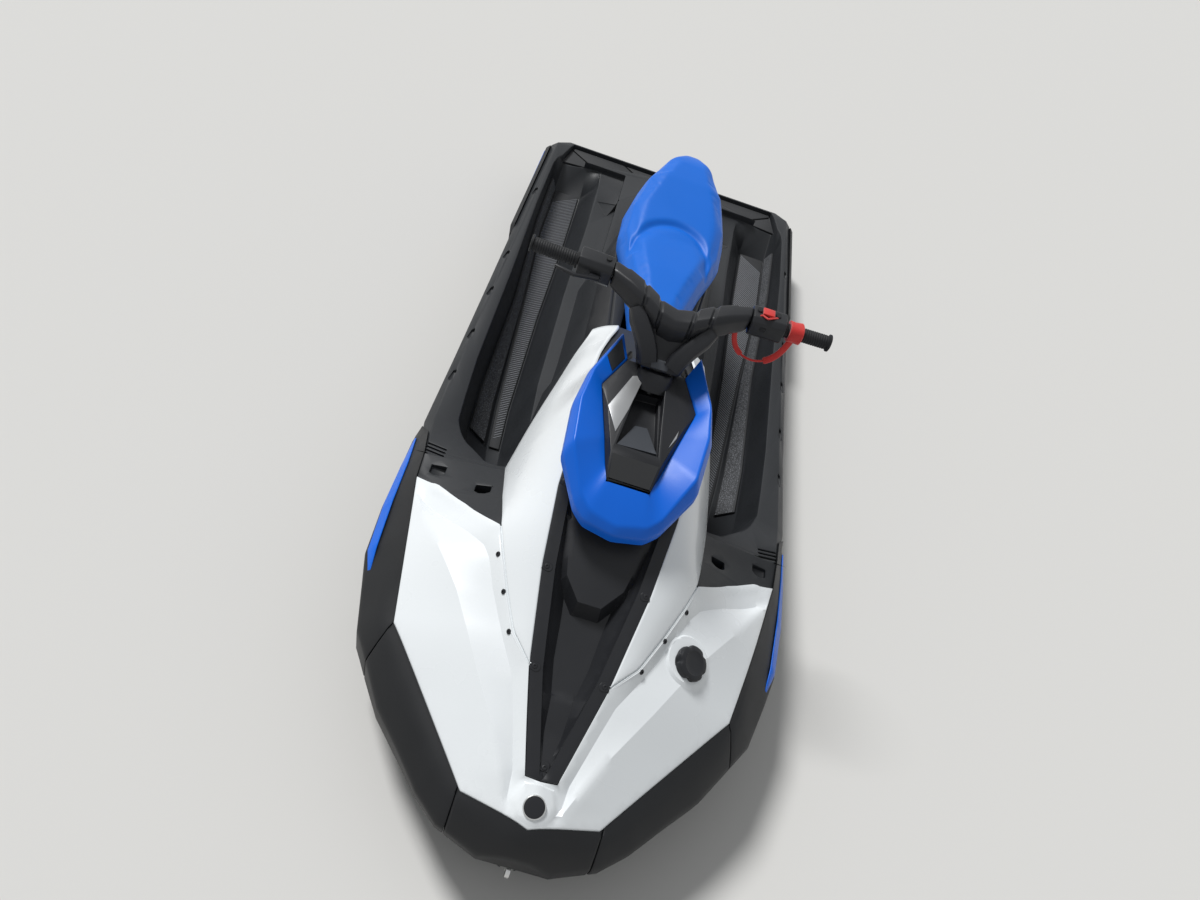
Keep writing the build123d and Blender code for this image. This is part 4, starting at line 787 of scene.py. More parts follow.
def plan_panel(name, outline, lines, height, thickness, spacing, edge):
    """A closed moulded panel over a plan outline, with mesh edges along its form lines."""
    rims = [inset(outline, d) for d in (PANEL_GAP, PANEL_GAP + 0.3 * edge, PANEL_GAP + edge)]
    chains = [(rim, True) for rim in rims] + lines
    points, edges = [], []
    for line, closed in chains:
        line = spaced(line, spacing, closed)
        start = len(points)
        points += line
        edges += [(start + i, start + i + 1) for i in range(len(line) - 1)]
        if closed:
            edges.append((len(points) - 1, start))
    tree = KDTree(len(points))
    for i, (x, y) in enumerate(points):
        tree.insert((x, y, 0.0), i)
    tree.balance()
    xs, ys = [p[0] for p in outline], [p[1] for p in outline]
    for row in range(int((max(xs) - min(xs)) / spacing) + 1):
        for col in range(int((max(ys) - min(ys)) / spacing) + 1):
            x = min(xs) + row * spacing
            y = min(ys) + (col + 0.5 * (row % 2)) * spacing
            if tree.find((x, y, 0.0))[2] > 0.55 * spacing:
                points.append((x, y))
    verts, _, faces, _, _, _ = delaunay_2d_cdt([Vector(p) for p in points], edges, [], 0, 1e-4)
    plan = np.array([tuple(v) for v in verts])
    centres = plan[np.array(faces)].mean(1)
    faces = [face for face, keep in zip(faces, inside(centres, rims[0])) if keep]
    used = sorted({i for face in faces for i in face})
    place = {old: new for new, old in enumerate(used)}
    faces = [tuple(place[i] for i in face) for face in faces]
    plan = plan[used]
    away = np.clip(reach(plan, rims[0], True) / edge, 0.0, 1.0)
    top = height(plan) - edge * (1.0 - np.sqrt(1.0 - (1.0 - away) ** 2)) * 0.8
    count = len(plan)
    solid = [(x, y, z) for (x, y), z in zip(plan, top)]
    solid += [(x, y, z) for (x, y), z in zip(plan, height(plan) - thickness)]
    sides = {}
    for face in faces:
        for a, b in zip(face, face[1:] + face[:1]):
            sides[(a, b)] = True
    walls = [(b, a, a + count, b + count) for a, b in sides if (b, a) not in sides]
    under = [tuple(i + count for i in reversed(face)) for face in faces]
    return solid_object(name, solid, faces + under + walls)


def merged_copy(node, name):
    """A new object with a node's mesh, its loose triangles joined into flat faces."""
    mesh = frame["nodes"][node].data.copy()
    obj = bpy.data.objects.new(name, mesh)
    bpy.context.collection.objects.link(obj)
    bm = bmesh.new()
    bm.from_mesh(mesh)
    bmesh.ops.remove_doubles(bm, verts=bm.verts, dist=2e-5)
    bmesh.ops.dissolve_degenerate(bm, edges=bm.edges, dist=1e-5)
    bmesh.ops.dissolve_limit(bm, angle_limit=radians(0.6), verts=bm.verts, edges=bm.edges)
    bm.to_mesh(mesh)
    bm.free()
    return obj


def settle(obj):
    """Turns an object and its modifiers into a plain mesh."""
    graph = bpy.context.evaluated_depsgraph_get()
    mesh = bpy.data.meshes.new_from_object(obj.evaluated_get(graph))
    old = obj.data
    obj.modifiers.clear()
    obj.data = mesh
    bpy.data.meshes.remove(old)


def cut(obj, cutters):
    """Cuts holes, and removes the cutters."""
    for cutter in cutters:
        change = obj.modifiers.new("Cut", "BOOLEAN")
        change.operation = "DIFFERENCE"
        change.solver = "EXACT"
        change.object = cutter
        settle(obj)
        bpy.data.objects.remove(cutter)


def round_edges(obj, width, segments=3, angle=24.0):
    change = obj.modifiers.new("Edges", "BEVEL")
    change.width = width * MM
    change.segments = segments
    change.limit_method = "ANGLE"
    change.angle_limit = radians(angle)
    change.use_clamp_overlap = False
    change.miter_outer = "MITER_ARC"
    settle(obj)


def finish(obj, body, slot, replaced=(), sharp=32.0, material=None):
    """Gives a piece its finish, smooth shading and place among the bodies."""
    obj.data.materials.clear()
    obj.data.materials.append(material or MATERIAL[slot])
    obj.data.shade_smooth()
    obj.data.set_sharp_from_angle(angle=radians(sharp))
    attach(obj, body)
    if replaced:
        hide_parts(*replaced)
    return obj


def dressed(node, width, segments=3, angle=24.0, cutters=()):
    """A copy of a node with rounded edges, which stands for it."""
    obj = merged_copy(node, f"{node}_moulding")
    cut(obj, cutters)
    round_edges(obj, width, segments, angle)
    finish(obj, BODY[node], SLOT[node], [node])


# The white front deck, the hood and the side cowls

def white_z(p):
    """Height of the white panel: the front deck's surface with the forms that are pressed into it."""
    z = front_z(p)
    x, y = p[:, 0], np.abs(p[:, 1])
    inner = np.where(x < CREASE_EDGE[0][0], lookup(CREASE_EDGE, x), lookup(HOOD_EDGE, x))
    facet = np.maximum(lookup(FACET, x), inner + 1.0)
    ridge = np.maximum(lookup(RIDGE, x), facet + 1.0)
    rail = np.maximum(lookup(RAIL_EDGE, x), ridge + 1.0)
    band = np.where(y < facet, -FACET_DROP * (y - inner) / (facet - inner),
                    np.where(y < ridge, -FACET_DROP + (FACET_DROP + RIDGE_RISE) * (y - facet) / (ridge - facet),
                             RIDGE_RISE * (rail - y) / (rail - ridge)))
    fade = np.clip(np.minimum(x - FORM_X[0], FORM_X[1] - x) / FORM_FADE, 0.0, 1.0)
    z += np.clip(band, -FACET_DROP, RIDGE_RISE) * fade
    port = np.column_stack([x, y])
    z += AFT_RISE * ease(2.0 - 2.0 * reach(port, AFT_EDGE) / AFT_BAND)
    z += PAD_RISE * (inside(p, BADGE_PAD) * ease(reach(p, BADGE_PAD, True) / PAD_EASE))
    _, mid, outer = CAP_RING_R
    away = np.sqrt(((p - np.array(CAP_AT)) ** 2).sum(1))
    return z + CAP_RING_RISE * ease((outer - away) / (outer - mid))


def creased(obj, lines):
    """Breaks the smooth shading along plan lines, where two flat faces meet."""
    plan = np.array([(v.co.x / MM, v.co.y / MM) for v in obj.data.vertices])
    near = np.zeros(len(plan), dtype=bool)
    for line in lines:
        near |= reach(plan, line) < 0.4
    for edge in obj.data.edges:
        if near[edge.vertices[0]] and near[edge.vertices[1]]:
            edge.use_edge_sharp = True


def front_deck_panel(sizes):
    outline = whole(RAIL_EDGE + AFT_EDGE + CREASE_EDGE[::-1] + [HOOD_EDGE[1], HOOD_EDGE[0]])
    lines = []
    for line in (RIDGE[1:-1], FACET[1:]):
        lines += [(line, False), (mirrored(line), False)]
    lines += [(BADGE_PAD, True), (inset(BADGE_PAD, PAD_EASE), True)]
    lines += [(circle(CAP_AT, r), True) for r in CAP_RING_R]
    panel = plan_panel("front_deck_panel", outline, lines, white_z, SKIN, sizes.grid / MM, sizes.edge / MM)
    finish(panel, "craft", "white_gelcoat", ["front_deck"], sharp=40.0)
    creased(panel, [line for line, closed in lines if not closed])
    z = float(white_z(np.array([BADGE_AT]))[0])
    slope = float(white_z(np.array([(BADGE_AT[0] + 10.0, 0.0)]))[0] - z) / 10.0
    across = Vector((1.0, 0.0, slope)).normalized()
    up = Vector((-across.z, 0.0, across.x))
    for name, slot, steps in (("badge_rim", "stainless", BADGE_RIM), ("badge_disc", "dark_trim", BADGE_DISC)):
        rings = [round_box(Vector((BADGE_AT[0], 0.0, z)) + up * h, across, Y, BADGE_R - r, BADGE_R - r, 2.0, 40)
                 for r, h in steps]
        finish(skin(name, rings, slot == "stainless"), "craft", slot)


def hood_z(p):
    """Height of the hood's surface: rims, a stepped valley between them, and the scoop at its aft end."""
    x, y = p[:, 0], np.abs(p[:, 1])
    row = rows_at(FRONT, x)
    rim = row[:, 2] + SKIN + np.clip((x - NOSE_RISE[0]) * NOSE_RISE[1], 0.0, NOSE_RISE[2])
    rim_in = np.maximum(lookup(HOOD_EDGE, x) - RIM_W, 3.0)
    floor = np.minimum(lookup(VALLEY, x), rim_in - 2.0)
    depth = lookup(VALLEY, x, 2)
    slope = np.clip((rim_in - y) / np.maximum(rim_in - floor, 1.0), 0.0, 1.0)
    step = np.clip((rim_in - y) / RIM_STEP_RUN, 0.0, 1.0) * np.minimum(RIM_STEP, depth)
    valley = rim - np.minimum(step + (depth - RIM_STEP).clip(0.0) * slope, depth)
    body = whole_scoop()
    up = inside(p, body) * ease(reach(p, body, True) / SCOOP_FACE)
    up = np.where((x < SCOOP_BACK_X) & (y < SCOOP_HALF), 1.0, up)
    lid = rim - SCOOP_DROP - SCOOP_CROWN * (y / SCOOP_HALF) ** 2
    return valley + up * np.maximum(lid - valley, 0.0)


def whole_scoop():
    return SCOOP + mirrored(SCOOP[::-1])


def hood_panel(sizes):
    outline = whole(HOOD_EDGE)
    rim_x = [HOOD_EDGE[-1][0] + 16.0 * i for i in range(40)]
    lines = []
    for shift in (0.0, RIM_STEP_RUN):
        rim = [(x, lookup(HOOD_EDGE, x) - RIM_W - shift) for x in rim_x]
        lines += [(rim, False), (mirrored(rim), False)]
    floor = [(x, min(w, lookup(HOOD_EDGE, x) - RIM_W - 6.0)) for x, w, _ in VALLEY[1:-1]]
    lines += [(floor, False), (mirrored(floor), False)]
    body = whole_scoop()
    lines += [(body[1:-1], False), (inset(body, SCOOP_FACE)[1:-1], False), (VALLEY_BREAK, False)]
    panel = plan_panel("hood_panel", outline, lines, hood_z, SKIN, sizes.grid / MM, sizes.edge / MM)
    finish(panel, "craft", "deck_plastic", ["hood_cover"], sharp=28.0, material=MATERIAL["dark_trim"])
    creased(panel, [floor, mirrored(floor)])


def cowl_rows(x):
    """Inner and outer edge of the side cowl at x, in height and half width."""
    if x <= COWL[-1][0]:
        return rows_at(COWL, np.array([x]))[0]
    y_in = min(lookup(HOOD_EDGE, x), COWL[-1][1])
    y_out = max(lookup(COWL_OUT, x), y_in + 1.0)
    z = front_z(np.array([(x, y_in), (x, y_out)]))
    return np.array([y_in, z[0], y_out, z[1]])


def cowl_panels(sizes):
    """The white cowls: one crowned sheet each, with turned edges."""
    edge = sizes.edge / MM
    x0, x1 = COWL[0][0], COWL_OUT[-1][0]
    stations = [x0, x0 + 1.0, x0 + edge] + [x0 + COWL_STEP * i for i in range(1, int((x1 - x0) / COWL_STEP))]
    stations += [x1 - edge, x1]
    for side, word in SIDES:
        grid = []
        for x in stations:
            y_in, z_in, y_out, z_out = cowl_rows(x)
            y_in, y_out = y_in + PANEL_GAP, y_out - PANEL_GAP
            width = sqrt((y_out - y_in) ** 2 + (z_out - z_in) ** 2)
            rim = min(edge, 0.3 * width)
            shares = [0.0, 0.3 * rim / width, rim / width] + [i / 12 for i in range(1, 12)]
            shares = sorted(s for s in shares + [1 - rim / width, 1 - 0.3 * rim / width, 1.0])
            grid.append([(x, y_in + s * (y_out - y_in), z_in + s * (z_out - z_in), s, width) for s in shares])
        points = np.array(grid)
        place = points[:, :, :3]
        du = np.gradient(place, axis=0)
        dv = np.gradient(place, axis=1)
        normal = np.cross(du, dv)
        normal /= np.linalg.norm(normal, axis=2, keepdims=True)
        share, width = points[:, :, 3], points[:, :, 4]
        crown = COWL_CROWN * np.sin(pi * share) * np.clip(width / COWL_CROWN_WIDE, 0.0, 1.0)
        ends = np.minimum(place[:, :, 0] - x0, x1 - place[:, :, 0])
        away = np.clip(np.minimum(np.minimum(share, 1.0 - share) * width, ends) / edge, 0.0, 1.0)
        drop = edge * (1.0 - np.sqrt(1.0 - (1.0 - away) ** 2)) * 0.8
        top = place + normal * (crown - drop)[..., None]
        under = place + normal * (crown * 0.9 - SKIN)[..., None]
        rows, cols = top.shape[:2]
        flat = [(x, side * y, z) for x, y, z in np.concatenate([top.reshape(-1, 3), under.reshape(-1, 3)])]
        shift = rows * cols
        faces = []
        for i in range(rows - 1):
            for j in range(cols - 1):
                a = i * cols + j
                quad = (a, a + 1, a + cols + 1, a + cols)
                faces += [quad, tuple(k + shift for k in reversed(quad))]
        rim_line = list(range(cols)) + [i * cols + cols - 1 for i in range(1, rows)]
        rim_line += [(rows - 1) * cols + j for j in range(cols - 2, -1, -1)]
        rim_line += [i * cols for i in range(rows - 2, 0, -1)]
        faces += [(a, b, b + shift, a + shift) for a, b in zip(rim_line, rim_line[1:] + rim_line[:1])]
        seam = spaced(CREASE_EDGE, 20.0, False)
        flange = [(x, side * y, z - COWL_FLANGE_DROP) + COWL_FLANGE for (x, y), z in zip(seam, front_z(np.array(seam)))]
        finish(tube(f"cowl_flange_{word}", flange, 4.0, 12), "craft", "white_gelcoat")
        panel = solid_object(f"side_cowl_panel_{word}", flat, faces)
        finish(panel, "craft", "white_gelcoat", [f"side_cowl_{word}"], sharp=40.0)


# Screws, from one Geometry Nodes tree

def repeat_tree():
    """A tree that puts one piece on every point, turned and sized by the point's own attributes."""
    tree = bpy.data.node_groups.new("Repeat a piece", "GeometryNodeTree")
    sides = (("Points", "INPUT", "Geometry"), ("Piece", "INPUT", "Object"), ("Size", "INPUT", "Float"),
             ("Finish", "INPUT", "Material"), ("Result", "OUTPUT", "Geometry"))
    for name, side, kind in sides:
        tree.interface.new_socket(name=name, in_out=side, socket_type=f"NodeSocket{kind}")
    source = add(tree, "NodeGroupInput")
    piece = add(tree, "GeometryNodeObjectInfo", {"Object": source.outputs["Piece"]})
    turn = add(tree, "GeometryNodeInputNamedAttribute", {"Name": "turn"}, data_type="FLOAT_VECTOR")
    size = add(tree, "GeometryNodeInputNamedAttribute", {"Name": "size"}, data_type="FLOAT_VECTOR")
    grown = add(tree, "ShaderNodeVectorMath", {0: size.outputs["Attribute"], 3: source.outputs["Size"]},
                operation="SCALE")
    euler = add(tree, "FunctionNodeEulerToRotation", {0: turn.outputs["Attribute"]})
    put = add(tree, "GeometryNodeInstanceOnPoints", {
        "Points": source.outputs["Points"], "Instance": piece.outputs["Geometry"],
        "Rotation": euler.outputs[0], "Scale": grown.outputs[0]})
    real = add(tree, "GeometryNodeRealizeInstances", {"Geometry": put.outputs[0]})
    done = add(tree, "GeometryNodeSetMaterial", {"Geometry": real.outputs[0], "Material": source.outputs["Finish"]})
    add(tree, "NodeGroupOutput", {"Result": done.outputs[0]})
    return tree


def repeated(name, piece, points, body, slot, material=None):
    """One mesh with a copy of the piece at each (place, up, ahead, scale), through the tree."""
    tree = bpy.data.node_groups.get("Repeat a piece") or repeat_tree()
    mesh = bpy.data.meshes.new(name)
    mesh.from_pydata([Vector(p[0]) * MM for p in points], [], [])
    turns, sizes = [], []
    for _, up, ahead, scale in points:
        z = Vector(up).normalized()
        x = Vector(ahead)
        x = (x - z * x.dot(z)).normalized()
        turns += list(Matrix((x, z.cross(x), z)).transposed().to_euler())
        sizes += list(scale)
    for key, values in (("turn", turns), ("size", sizes)):
        mesh.attributes.new(key, "FLOAT_VECTOR", "POINT").data.foreach_set("vector", values)
    obj = bpy.data.objects.new(name, mesh)
    bpy.context.collection.objects.link(obj)
    change = obj.modifiers.new("Repeat", "NODES")
    change.node_group = tree
    values = {"Piece": piece, "Size": 1.0, "Finish": MATERIAL[slot]}
    for item in tree.interface.items_tree:
        if item.name in values:
            change[item.identifier] = values[item.name]
    settle(obj)
    bpy.data.objects.remove(piece)
    finish(obj, body, slot, material=material)


def screw_head(radius):
    """A low round head with a hexagon socket, upright at the origin."""
    rings = [round_box((0, 0, z), X, Y, r * radius, r * radius, 2.0, SCREW_COUNT)
             for r, z in SCREW_RINGS]
    for r, z in SOCKET_RINGS:
        hexagon = []
        for i in range(SCREW_COUNT):
            turn = 2 * pi * i / SCREW_COUNT
            grow = cos(pi / 6) / cos((turn % (pi / 3)) - pi / 6)
            hexagon.append((r * radius * grow * cos(turn), r * radius * grow * sin(turn), z))
        rings.append(hexagon)
    return skin("screw_head", rings)


def surface_point(height, x, y, lift=0.0):
    """A point on a panel and the way that its surface faces there."""
    z = height(np.array([(x, y), (x + 4.0, y), (x, y + 4.0)]))
    up = Vector((4.0, 0.0, z[1] - z[0])).cross(Vector((0.0, 4.0, z[2] - z[0]))).normalized()
    return tuple(Vector((x, y, z[0])) + up * lift), tuple(up)


def panel_screws(sizes):
    points = []
    for side in (1, -1):
        for x, y in COWL_SCREWS:
            points.append((*surface_point(white_z, x, side * y), X, ONE))
        for x, y in HOOD_SCREWS:
            points.append((*surface_point(hood_z, x, side * y, SCREW_LIFT), X, ONE))
    points.append((*surface_point(hood_z, *TIP_SCREW, SCREW_LIFT), X, ONE))
    repeated("panel_screws", screw_head(sizes.screw / MM), points, "craft", "dark_trim")


def hood_tabs():
    """Round-nosed tabs under the hood screws."""
    rings = [[(x * grow, y * grow, z) for x, y in TAB_PLAN] for grow, z in TAB_RINGS]
    points = []
    for side in (1, -1):
        for x, y in HOOD_SCREWS:
            place, up = surface_point(hood_z, x, side * (y + 1.0))
            points.append((place, up, (0.3, -side, 0), ONE))
    points.append((*surface_point(hood_z, *TIP_SCREW), (-1, 0, 0), ONE))
    repeated("hood_tabs", skin("tab", rings), points, "craft", "dark_trim")


def fittings(sizes):
    """Bolts of the eyes, nuts of the bucket's pivot, and the pump's flange with its ring of bolts."""
    points = []
    for side in (1, -1):
        points.append(((BOW_X + EYE_PLATE_T, 0.0, BOW_EYE_Z + side * EYE_BOLT), X, Z, ONE))
        nut = (BUCKET_PIVOT[0], side * BUCKET_NUT_Y, BUCKET_PIVOT[1])
        points.append((nut, (0, side, 0), X, BUCKET_NUT_SIZE))
        for shift in (EYE_BOLT, -EYE_BOLT):
            y = side * (STERN_EYE[0] + shift)
            points.append(((TRANSOM_X - EYE_PLATE_T, y, STERN_EYE[1]), (-1, 0, 0), Z, ONE))
    for i in range(FLANGE_BOLTS):
        turn = 2 * pi * (i + 0.5) / FLANGE_BOLTS
        place = (FLANGE[0][0], FLANGE_BOLT_R * cos(turn), PUMP_Z + FLANGE_BOLT_R * sin(turn))
        points.append((place, (-1, 0, 0), Z, ONE))
    repeated("fitting_bolts", screw_head(sizes.screw / MM), points, "craft", "stainless")
    flange = [round_box((x, 0, PUMP_Z), Y, Z, r, r, 2.0, 48) for x, r in FLANGE]
    finish(skin("pump_flange", flange, True), "craft", "cast_aluminium")


# The black deck with its cut-outs, and the pedestal

def deck_cutters():
    """The pit under the white front, and the hooks, vents, recesses and slots of both sides."""
    pit = inset(whole(RAIL_EDGE + AFT_EDGE + [PIT_CORNER]), 12.0)
    cutters = [prism("pit", pit, *PIT_Z)]
    holes = []
    for x in HOOK_X:
        z = lookup(GUNWALE, x)
        holes.append((HOOK_PLAN, x, HOOK_Y, z - 16.0, z + 40.0))
    holes += [(VENT_PLAN, x, 0.0, 318.0, FRONT_CUT_TOP) for x in VENT_X]
    holes += [(RECESS_PLAN, x, y, z, FRONT_CUT_TOP) for x, y, z in RECESSES]
    holes.append((SLOT_PLAN, 0.0, 0.0, 236.0, 300.0))
    for side in (1, -1):
        for plan, x, y, low, high in holes:
            cutters.append(prism("hole", [(x + u, side * (y + v)) for u, v in plan], low, high))
    return cutters


def deck_moulding():
    dressed("deck", 3.0, 2, 28.0, deck_cutters())
    dressed("pedestal", 5.0, 3, 28.0)
    dressed("pedestal_panels", 1.5, 2)


def bumper_ring(row, low, edge):
    """The bumper's section: a crowned face from the rail down to the lip, and a tucked flank."""
    inner, outer = Vector(row[:3]), Vector(row[3:6])
    out = Vector((outer.x - inner.x, outer.y - inner.y, 0.0))
    width = out.length
    out.normalize()
    face = Vector((width, outer.z - inner.z))
    normal = Vector((-face.y, face.x)).normalized()
    ahead = (inner.x - PAD_X[0]) / (PAD_X[1] - PAD_X[0])
    crown = min(1.0, face.length / BUMPER_WIDE) * min(1.0, max(0.0, ahead))
    flat = [(0.0, low), (0.0, inner.z)]
    for share, rise in BUMPER_CROWN:
        flat.append(tuple(Vector((0.0, inner.z)) + face * share + normal * (crown * rise)))
    flat += [(width, outer.z), (width - LIP_TUCK, low)]
    ring = rounded(flat, [2.0, 5.0, 0.0, 0.0, 0.0, 0.0, edge, 5.0])
    return [Vector((inner.x, inner.y, 0.0)) + out * p.x + Vector((0.0, 0.0, p.y)) for p in ring]


def bumper_rows(table):
    """Rail and lip points on the front deck's outer surface."""
    rows = []
    for x_in, y_in, x_out, y_out in table:
        z_in, z_out = front_z(np.array([(x_in, y_in), (x_out, y_out)]))
        rows.append((x_in, y_in, float(z_in), x_out, y_out, float(z_out)))
    return rows


def bumpers(sizes):
    """The rubber bumpers: one in the middle of the bow, and three on each side."""
    edge = sizes.bumper_edge / MM

    def front_ring(row):
        return bumper_ring(row, lookup(BOND, row[3]), edge)

    def rear_ring(row):
        return bumper_ring(row, REAR_BUMPER_LOW, edge)

    half = bumper_rows(BOW_CENTER)
    middle = [(x, -y, z, u, -v, w) for x, y, z, u, v, w in half[:0:-1]] + half
    pieces = [("bow_bumper_center", middle, front_ring)]
    for sign, word in SIDES:
        for name, rows, ring in (("bow_bumper", bumper_rows(BOW_SIDE), front_ring),
                                 ("side_bumper_front", bumper_rows(BUMPER_SIDE) + BUMPER_TAIL, front_ring),
                                 ("side_bumper_rear", REAR_BUMPER, rear_ring)):
            rows = [(x, sign * y, z, u, sign * v, w) for x, y, z, u, v, w in rows]
            pieces.append((f"{name}_{word}", rows, ring))
    for node, rows, ring in pieces:
        piece = eased_ends(f"{node}_moulding", rows, ring, 30.0, SEAM_HALF, 5.0)
        finish(piece, BODY[node], SLOT[node], [node], sharp=38.0)


def stripes():
    for node in sorted(frame["nodes"]):
        if node.startswith("stripe"):
            dressed(node, 1.2, 2, 30.0)


def hull_moulding():
    dressed("hull", 3.0, 2, 24.0)
    dressed("ride_plate", 1.5, 2)


def mats(sizes):
    """The foam mats, and the slanted ribs on those of the footwells."""
    for word in ("port", "starboard"):
        dressed(f"footwell_mat_{word}", 2.0, 2, 30.0)
    dressed("platform_mat", 2.0, 2, 30.0)
    pitch = sizes.rib_pitch / MM
    bar = [[(-0.5, -half, z), (0.5, -half, z), (0.5, half, z), (-0.5, half, z)] for z, half in RIB]
    points = []
    for i in range(int((MAT_X[1] - MAT_X[0] - RIB_SPARE) / pitch)):
        x = MAT_X[0] + RIB_START + pitch * i
        y_in = lookup(MAT, x) + MAT_RIM
        y_out = lookup(MAT, x + RIB_SLANT * RIB_ACROSS, 2) - MAT_RIM
        ahead = min(x + RIB_SLANT * (y_out - y_in), MAT_X[1] - RIB_END)
        y_out = y_in + (ahead - x) / RIB_SLANT
        for side in (1, -1):
            ends = [Vector((u, side * v, lookup(MAT, u, 3) + MAT_T)) for u, v in ((x, y_in), (ahead, y_out))]
            long = (ends[1] - ends[0]).length
            points.append((tuple((ends[0] + ends[1]) / 2), Z, tuple(ends[1] - ends[0]), (long, 1.0, 1.0)))
    for side, word in SIDES:
        rings = []
        for (x, _, y_out, z), y_wall in zip(MAT, WEDGE_Y):
            rise = Vector((0.0, y_wall - y_out, WEDGE_RISE))
            up = Vector((0.0, -rise.z, rise.y)).normalized()
            low, high = (Vector((x, y_out, z)) + rise * share for share in WEDGE_SPAN)
            ring = [low + up * WEDGE_SKIN[0], high + up * WEDGE_SKIN[0], high + up * WEDGE_SKIN[1],
                    low + up * WEDGE_SKIN[1]]
            rings.append([Vector((p.x, side * p.y, p.z)) for p in ring])
        # The wedges take the lighter knit foam: painted light, as on faces turned to the sun
        finish(skin(f"mat_wedge_{word}", rings), "craft", "mat_rubber", material=MATERIAL["mat_knit_painted_light"])
    # The ribs take the lighter copy of the mat's foam: painted light on their tops
    repeated("mat_ribs", skin("rib", bar), points, "craft", "mat_rubber", material=MATERIAL["mat_ribs"])


def plate(name, corners, low, high, edge, slot, material=None):
    """A plate on a surface's corners, from a depth below it to a lift above it."""
    obj = skin(name, [[(x, y, z + lift) for x, y, z in corners] for lift in (low, high)])
    if edge:
        round_edges(obj, edge, 2)
    finish(obj, "craft", slot, material=material)


def collar_and_console():
    """The blue collar with its dark plate, and the console with its well, ramp, facets and display."""
    rows = []
    for angle, r_out, z_out, r_ridge, z_ridge, r_in, z_in in [(-row[0],) + row[1:] for row in COLLAR[:0:-1]] + COLLAR:
        flat = [(r_out, z_out - COLLAR_SKIRT), (r_out, z_out), (r_ridge, z_ridge), (r_in, z_in),
                (r_in, z_in - COLLAR_DEPTH)]
        rows.append([(COLLAR_X + r * cos(radians(angle)), r * sin(radians(angle)), z) for r, z in flat])
    rows = np.array(rows)
    at = np.concatenate([[0.0], np.cumsum(np.linalg.norm(np.diff(rows[:, 2], axis=0), axis=1))])
    rings = []
    for spot in np.linspace(0.0, at[-1], COLLAR_COUNT):
        near = np.clip([spot - COLLAR_EASE, spot, spot + COLLAR_EASE], 0.0, at[-1])
        corners = [tuple(float(np.interp(near, at, rows[:, i, k]).mean()) for k in range(3)) for i in range(5)]
        rings.append(rounded(corners, COLLAR_RADII, 4))
    finish(skin("collar_moulding", rings), "craft", "blue_plastic", ["collar"], sharp=40.0)
    plate("collar_plate", COLLAR_PLATE, -6.0, 2.5, 1.2, "deck_plastic")
    dressed("console", 1.5, 2, 24.0, [prism("well", CONSOLE_WELL, CONSOLE_WELL_Z, 900.0)])
    plate("console_ramp", CONSOLE_RAMP, -8.0, 0.0, 0.0, "dark_trim", MATERIAL["grey_trim"])
    for number, plan in enumerate(CONSOLE_FACETS, 1):
        corners = [(x, y, CONSOLE_Z + CONSOLE_SLOPE * (x - CONSOLE_X)) for x, y in plan]
        plate(f"console_facet_{number}", corners, -4.0, FACET_LIFT, 1.0, "dark_trim", MATERIAL["silver_trim"])
    dressed("display", 1.0, 2)


# The fuel cap

def cap():
    """The filler cap: a skirt, and a knob with scooped finger grips and a dished top."""
    axis = Vector(CAP_AXIS).normalized()
    across = Vector(X) - axis * axis.x
    across.normalize()
    up = axis.cross(across)
    foot = Vector((*CAP_AT, CAP_Z))
    rings = []
    for share, z in CAP_STEPS:
        ring = []
        for i in range(CAP_COUNT):
            turn = 2 * pi * i / CAP_COUNT
            scooped = z > CAP_BITE_Z and share > CAP_BITE_R
            lobe = CAP_BITE * max(0.0, cos(CAP_LOBES * turn)) ** 3 if scooped else 0.0
            r = CAP_R * share * (1.0 - lobe)
            ring.append(foot + across * (r * cos(turn)) + up * (r * sin(turn)) + axis * z)
        rings.append(ring)
    finish(skin("fuel_cap_top", rings), "craft", "dark_trim", ["fuel_cap"], sharp=30.0)


# Steering

def steer_point(distance):
    """A point at a distance up the steering axis from its foot."""
    foot = Vector((STEER_FOOT[0], 0.0, STEER_FOOT[1]))
    along = Vector((STEER_TOP[0] - STEER_FOOT[0], 0.0, STEER_TOP[1] - STEER_FOOT[1])).normalized()
    return foot + along * distance


def tube(name, path, power=3.0, count=28, up=Z):
    """A closed bar along a path of (x, y, z, half across, half deep)."""
    rings = []
    for i, row in enumerate(path):
        here = Vector(row[:3])
        along = (Vector(path[min(i + 1, len(path) - 1)][:3]) - Vector(path[max(i - 1, 0)][:3])).normalized()
        across = along.cross(Vector(up)).normalized()
        rings.append(round_box(here, across, across.cross(along), row[3], row[4], power, count))
    return skin(name, rings)


def handlebar_cover():
    rows = [(-y, x, z, a, b) for y, x, z, a, b in reversed(COVER[1:])] + COVER
    rings = []
    for y, x, z, a, b in rows:
        lean = COVER_LEAN * max(-1.0, min(1.0, y / COVER_LEAN_Y))
        rings.append(cut_box((x, y, z), (1, lean, 0), Z, a, b, 0.42 * b, 5.0))
    finish(skin("handlebar_cover", rings), "steering", "dark_trim", ["handlebar_pad"], sharp=30.0)


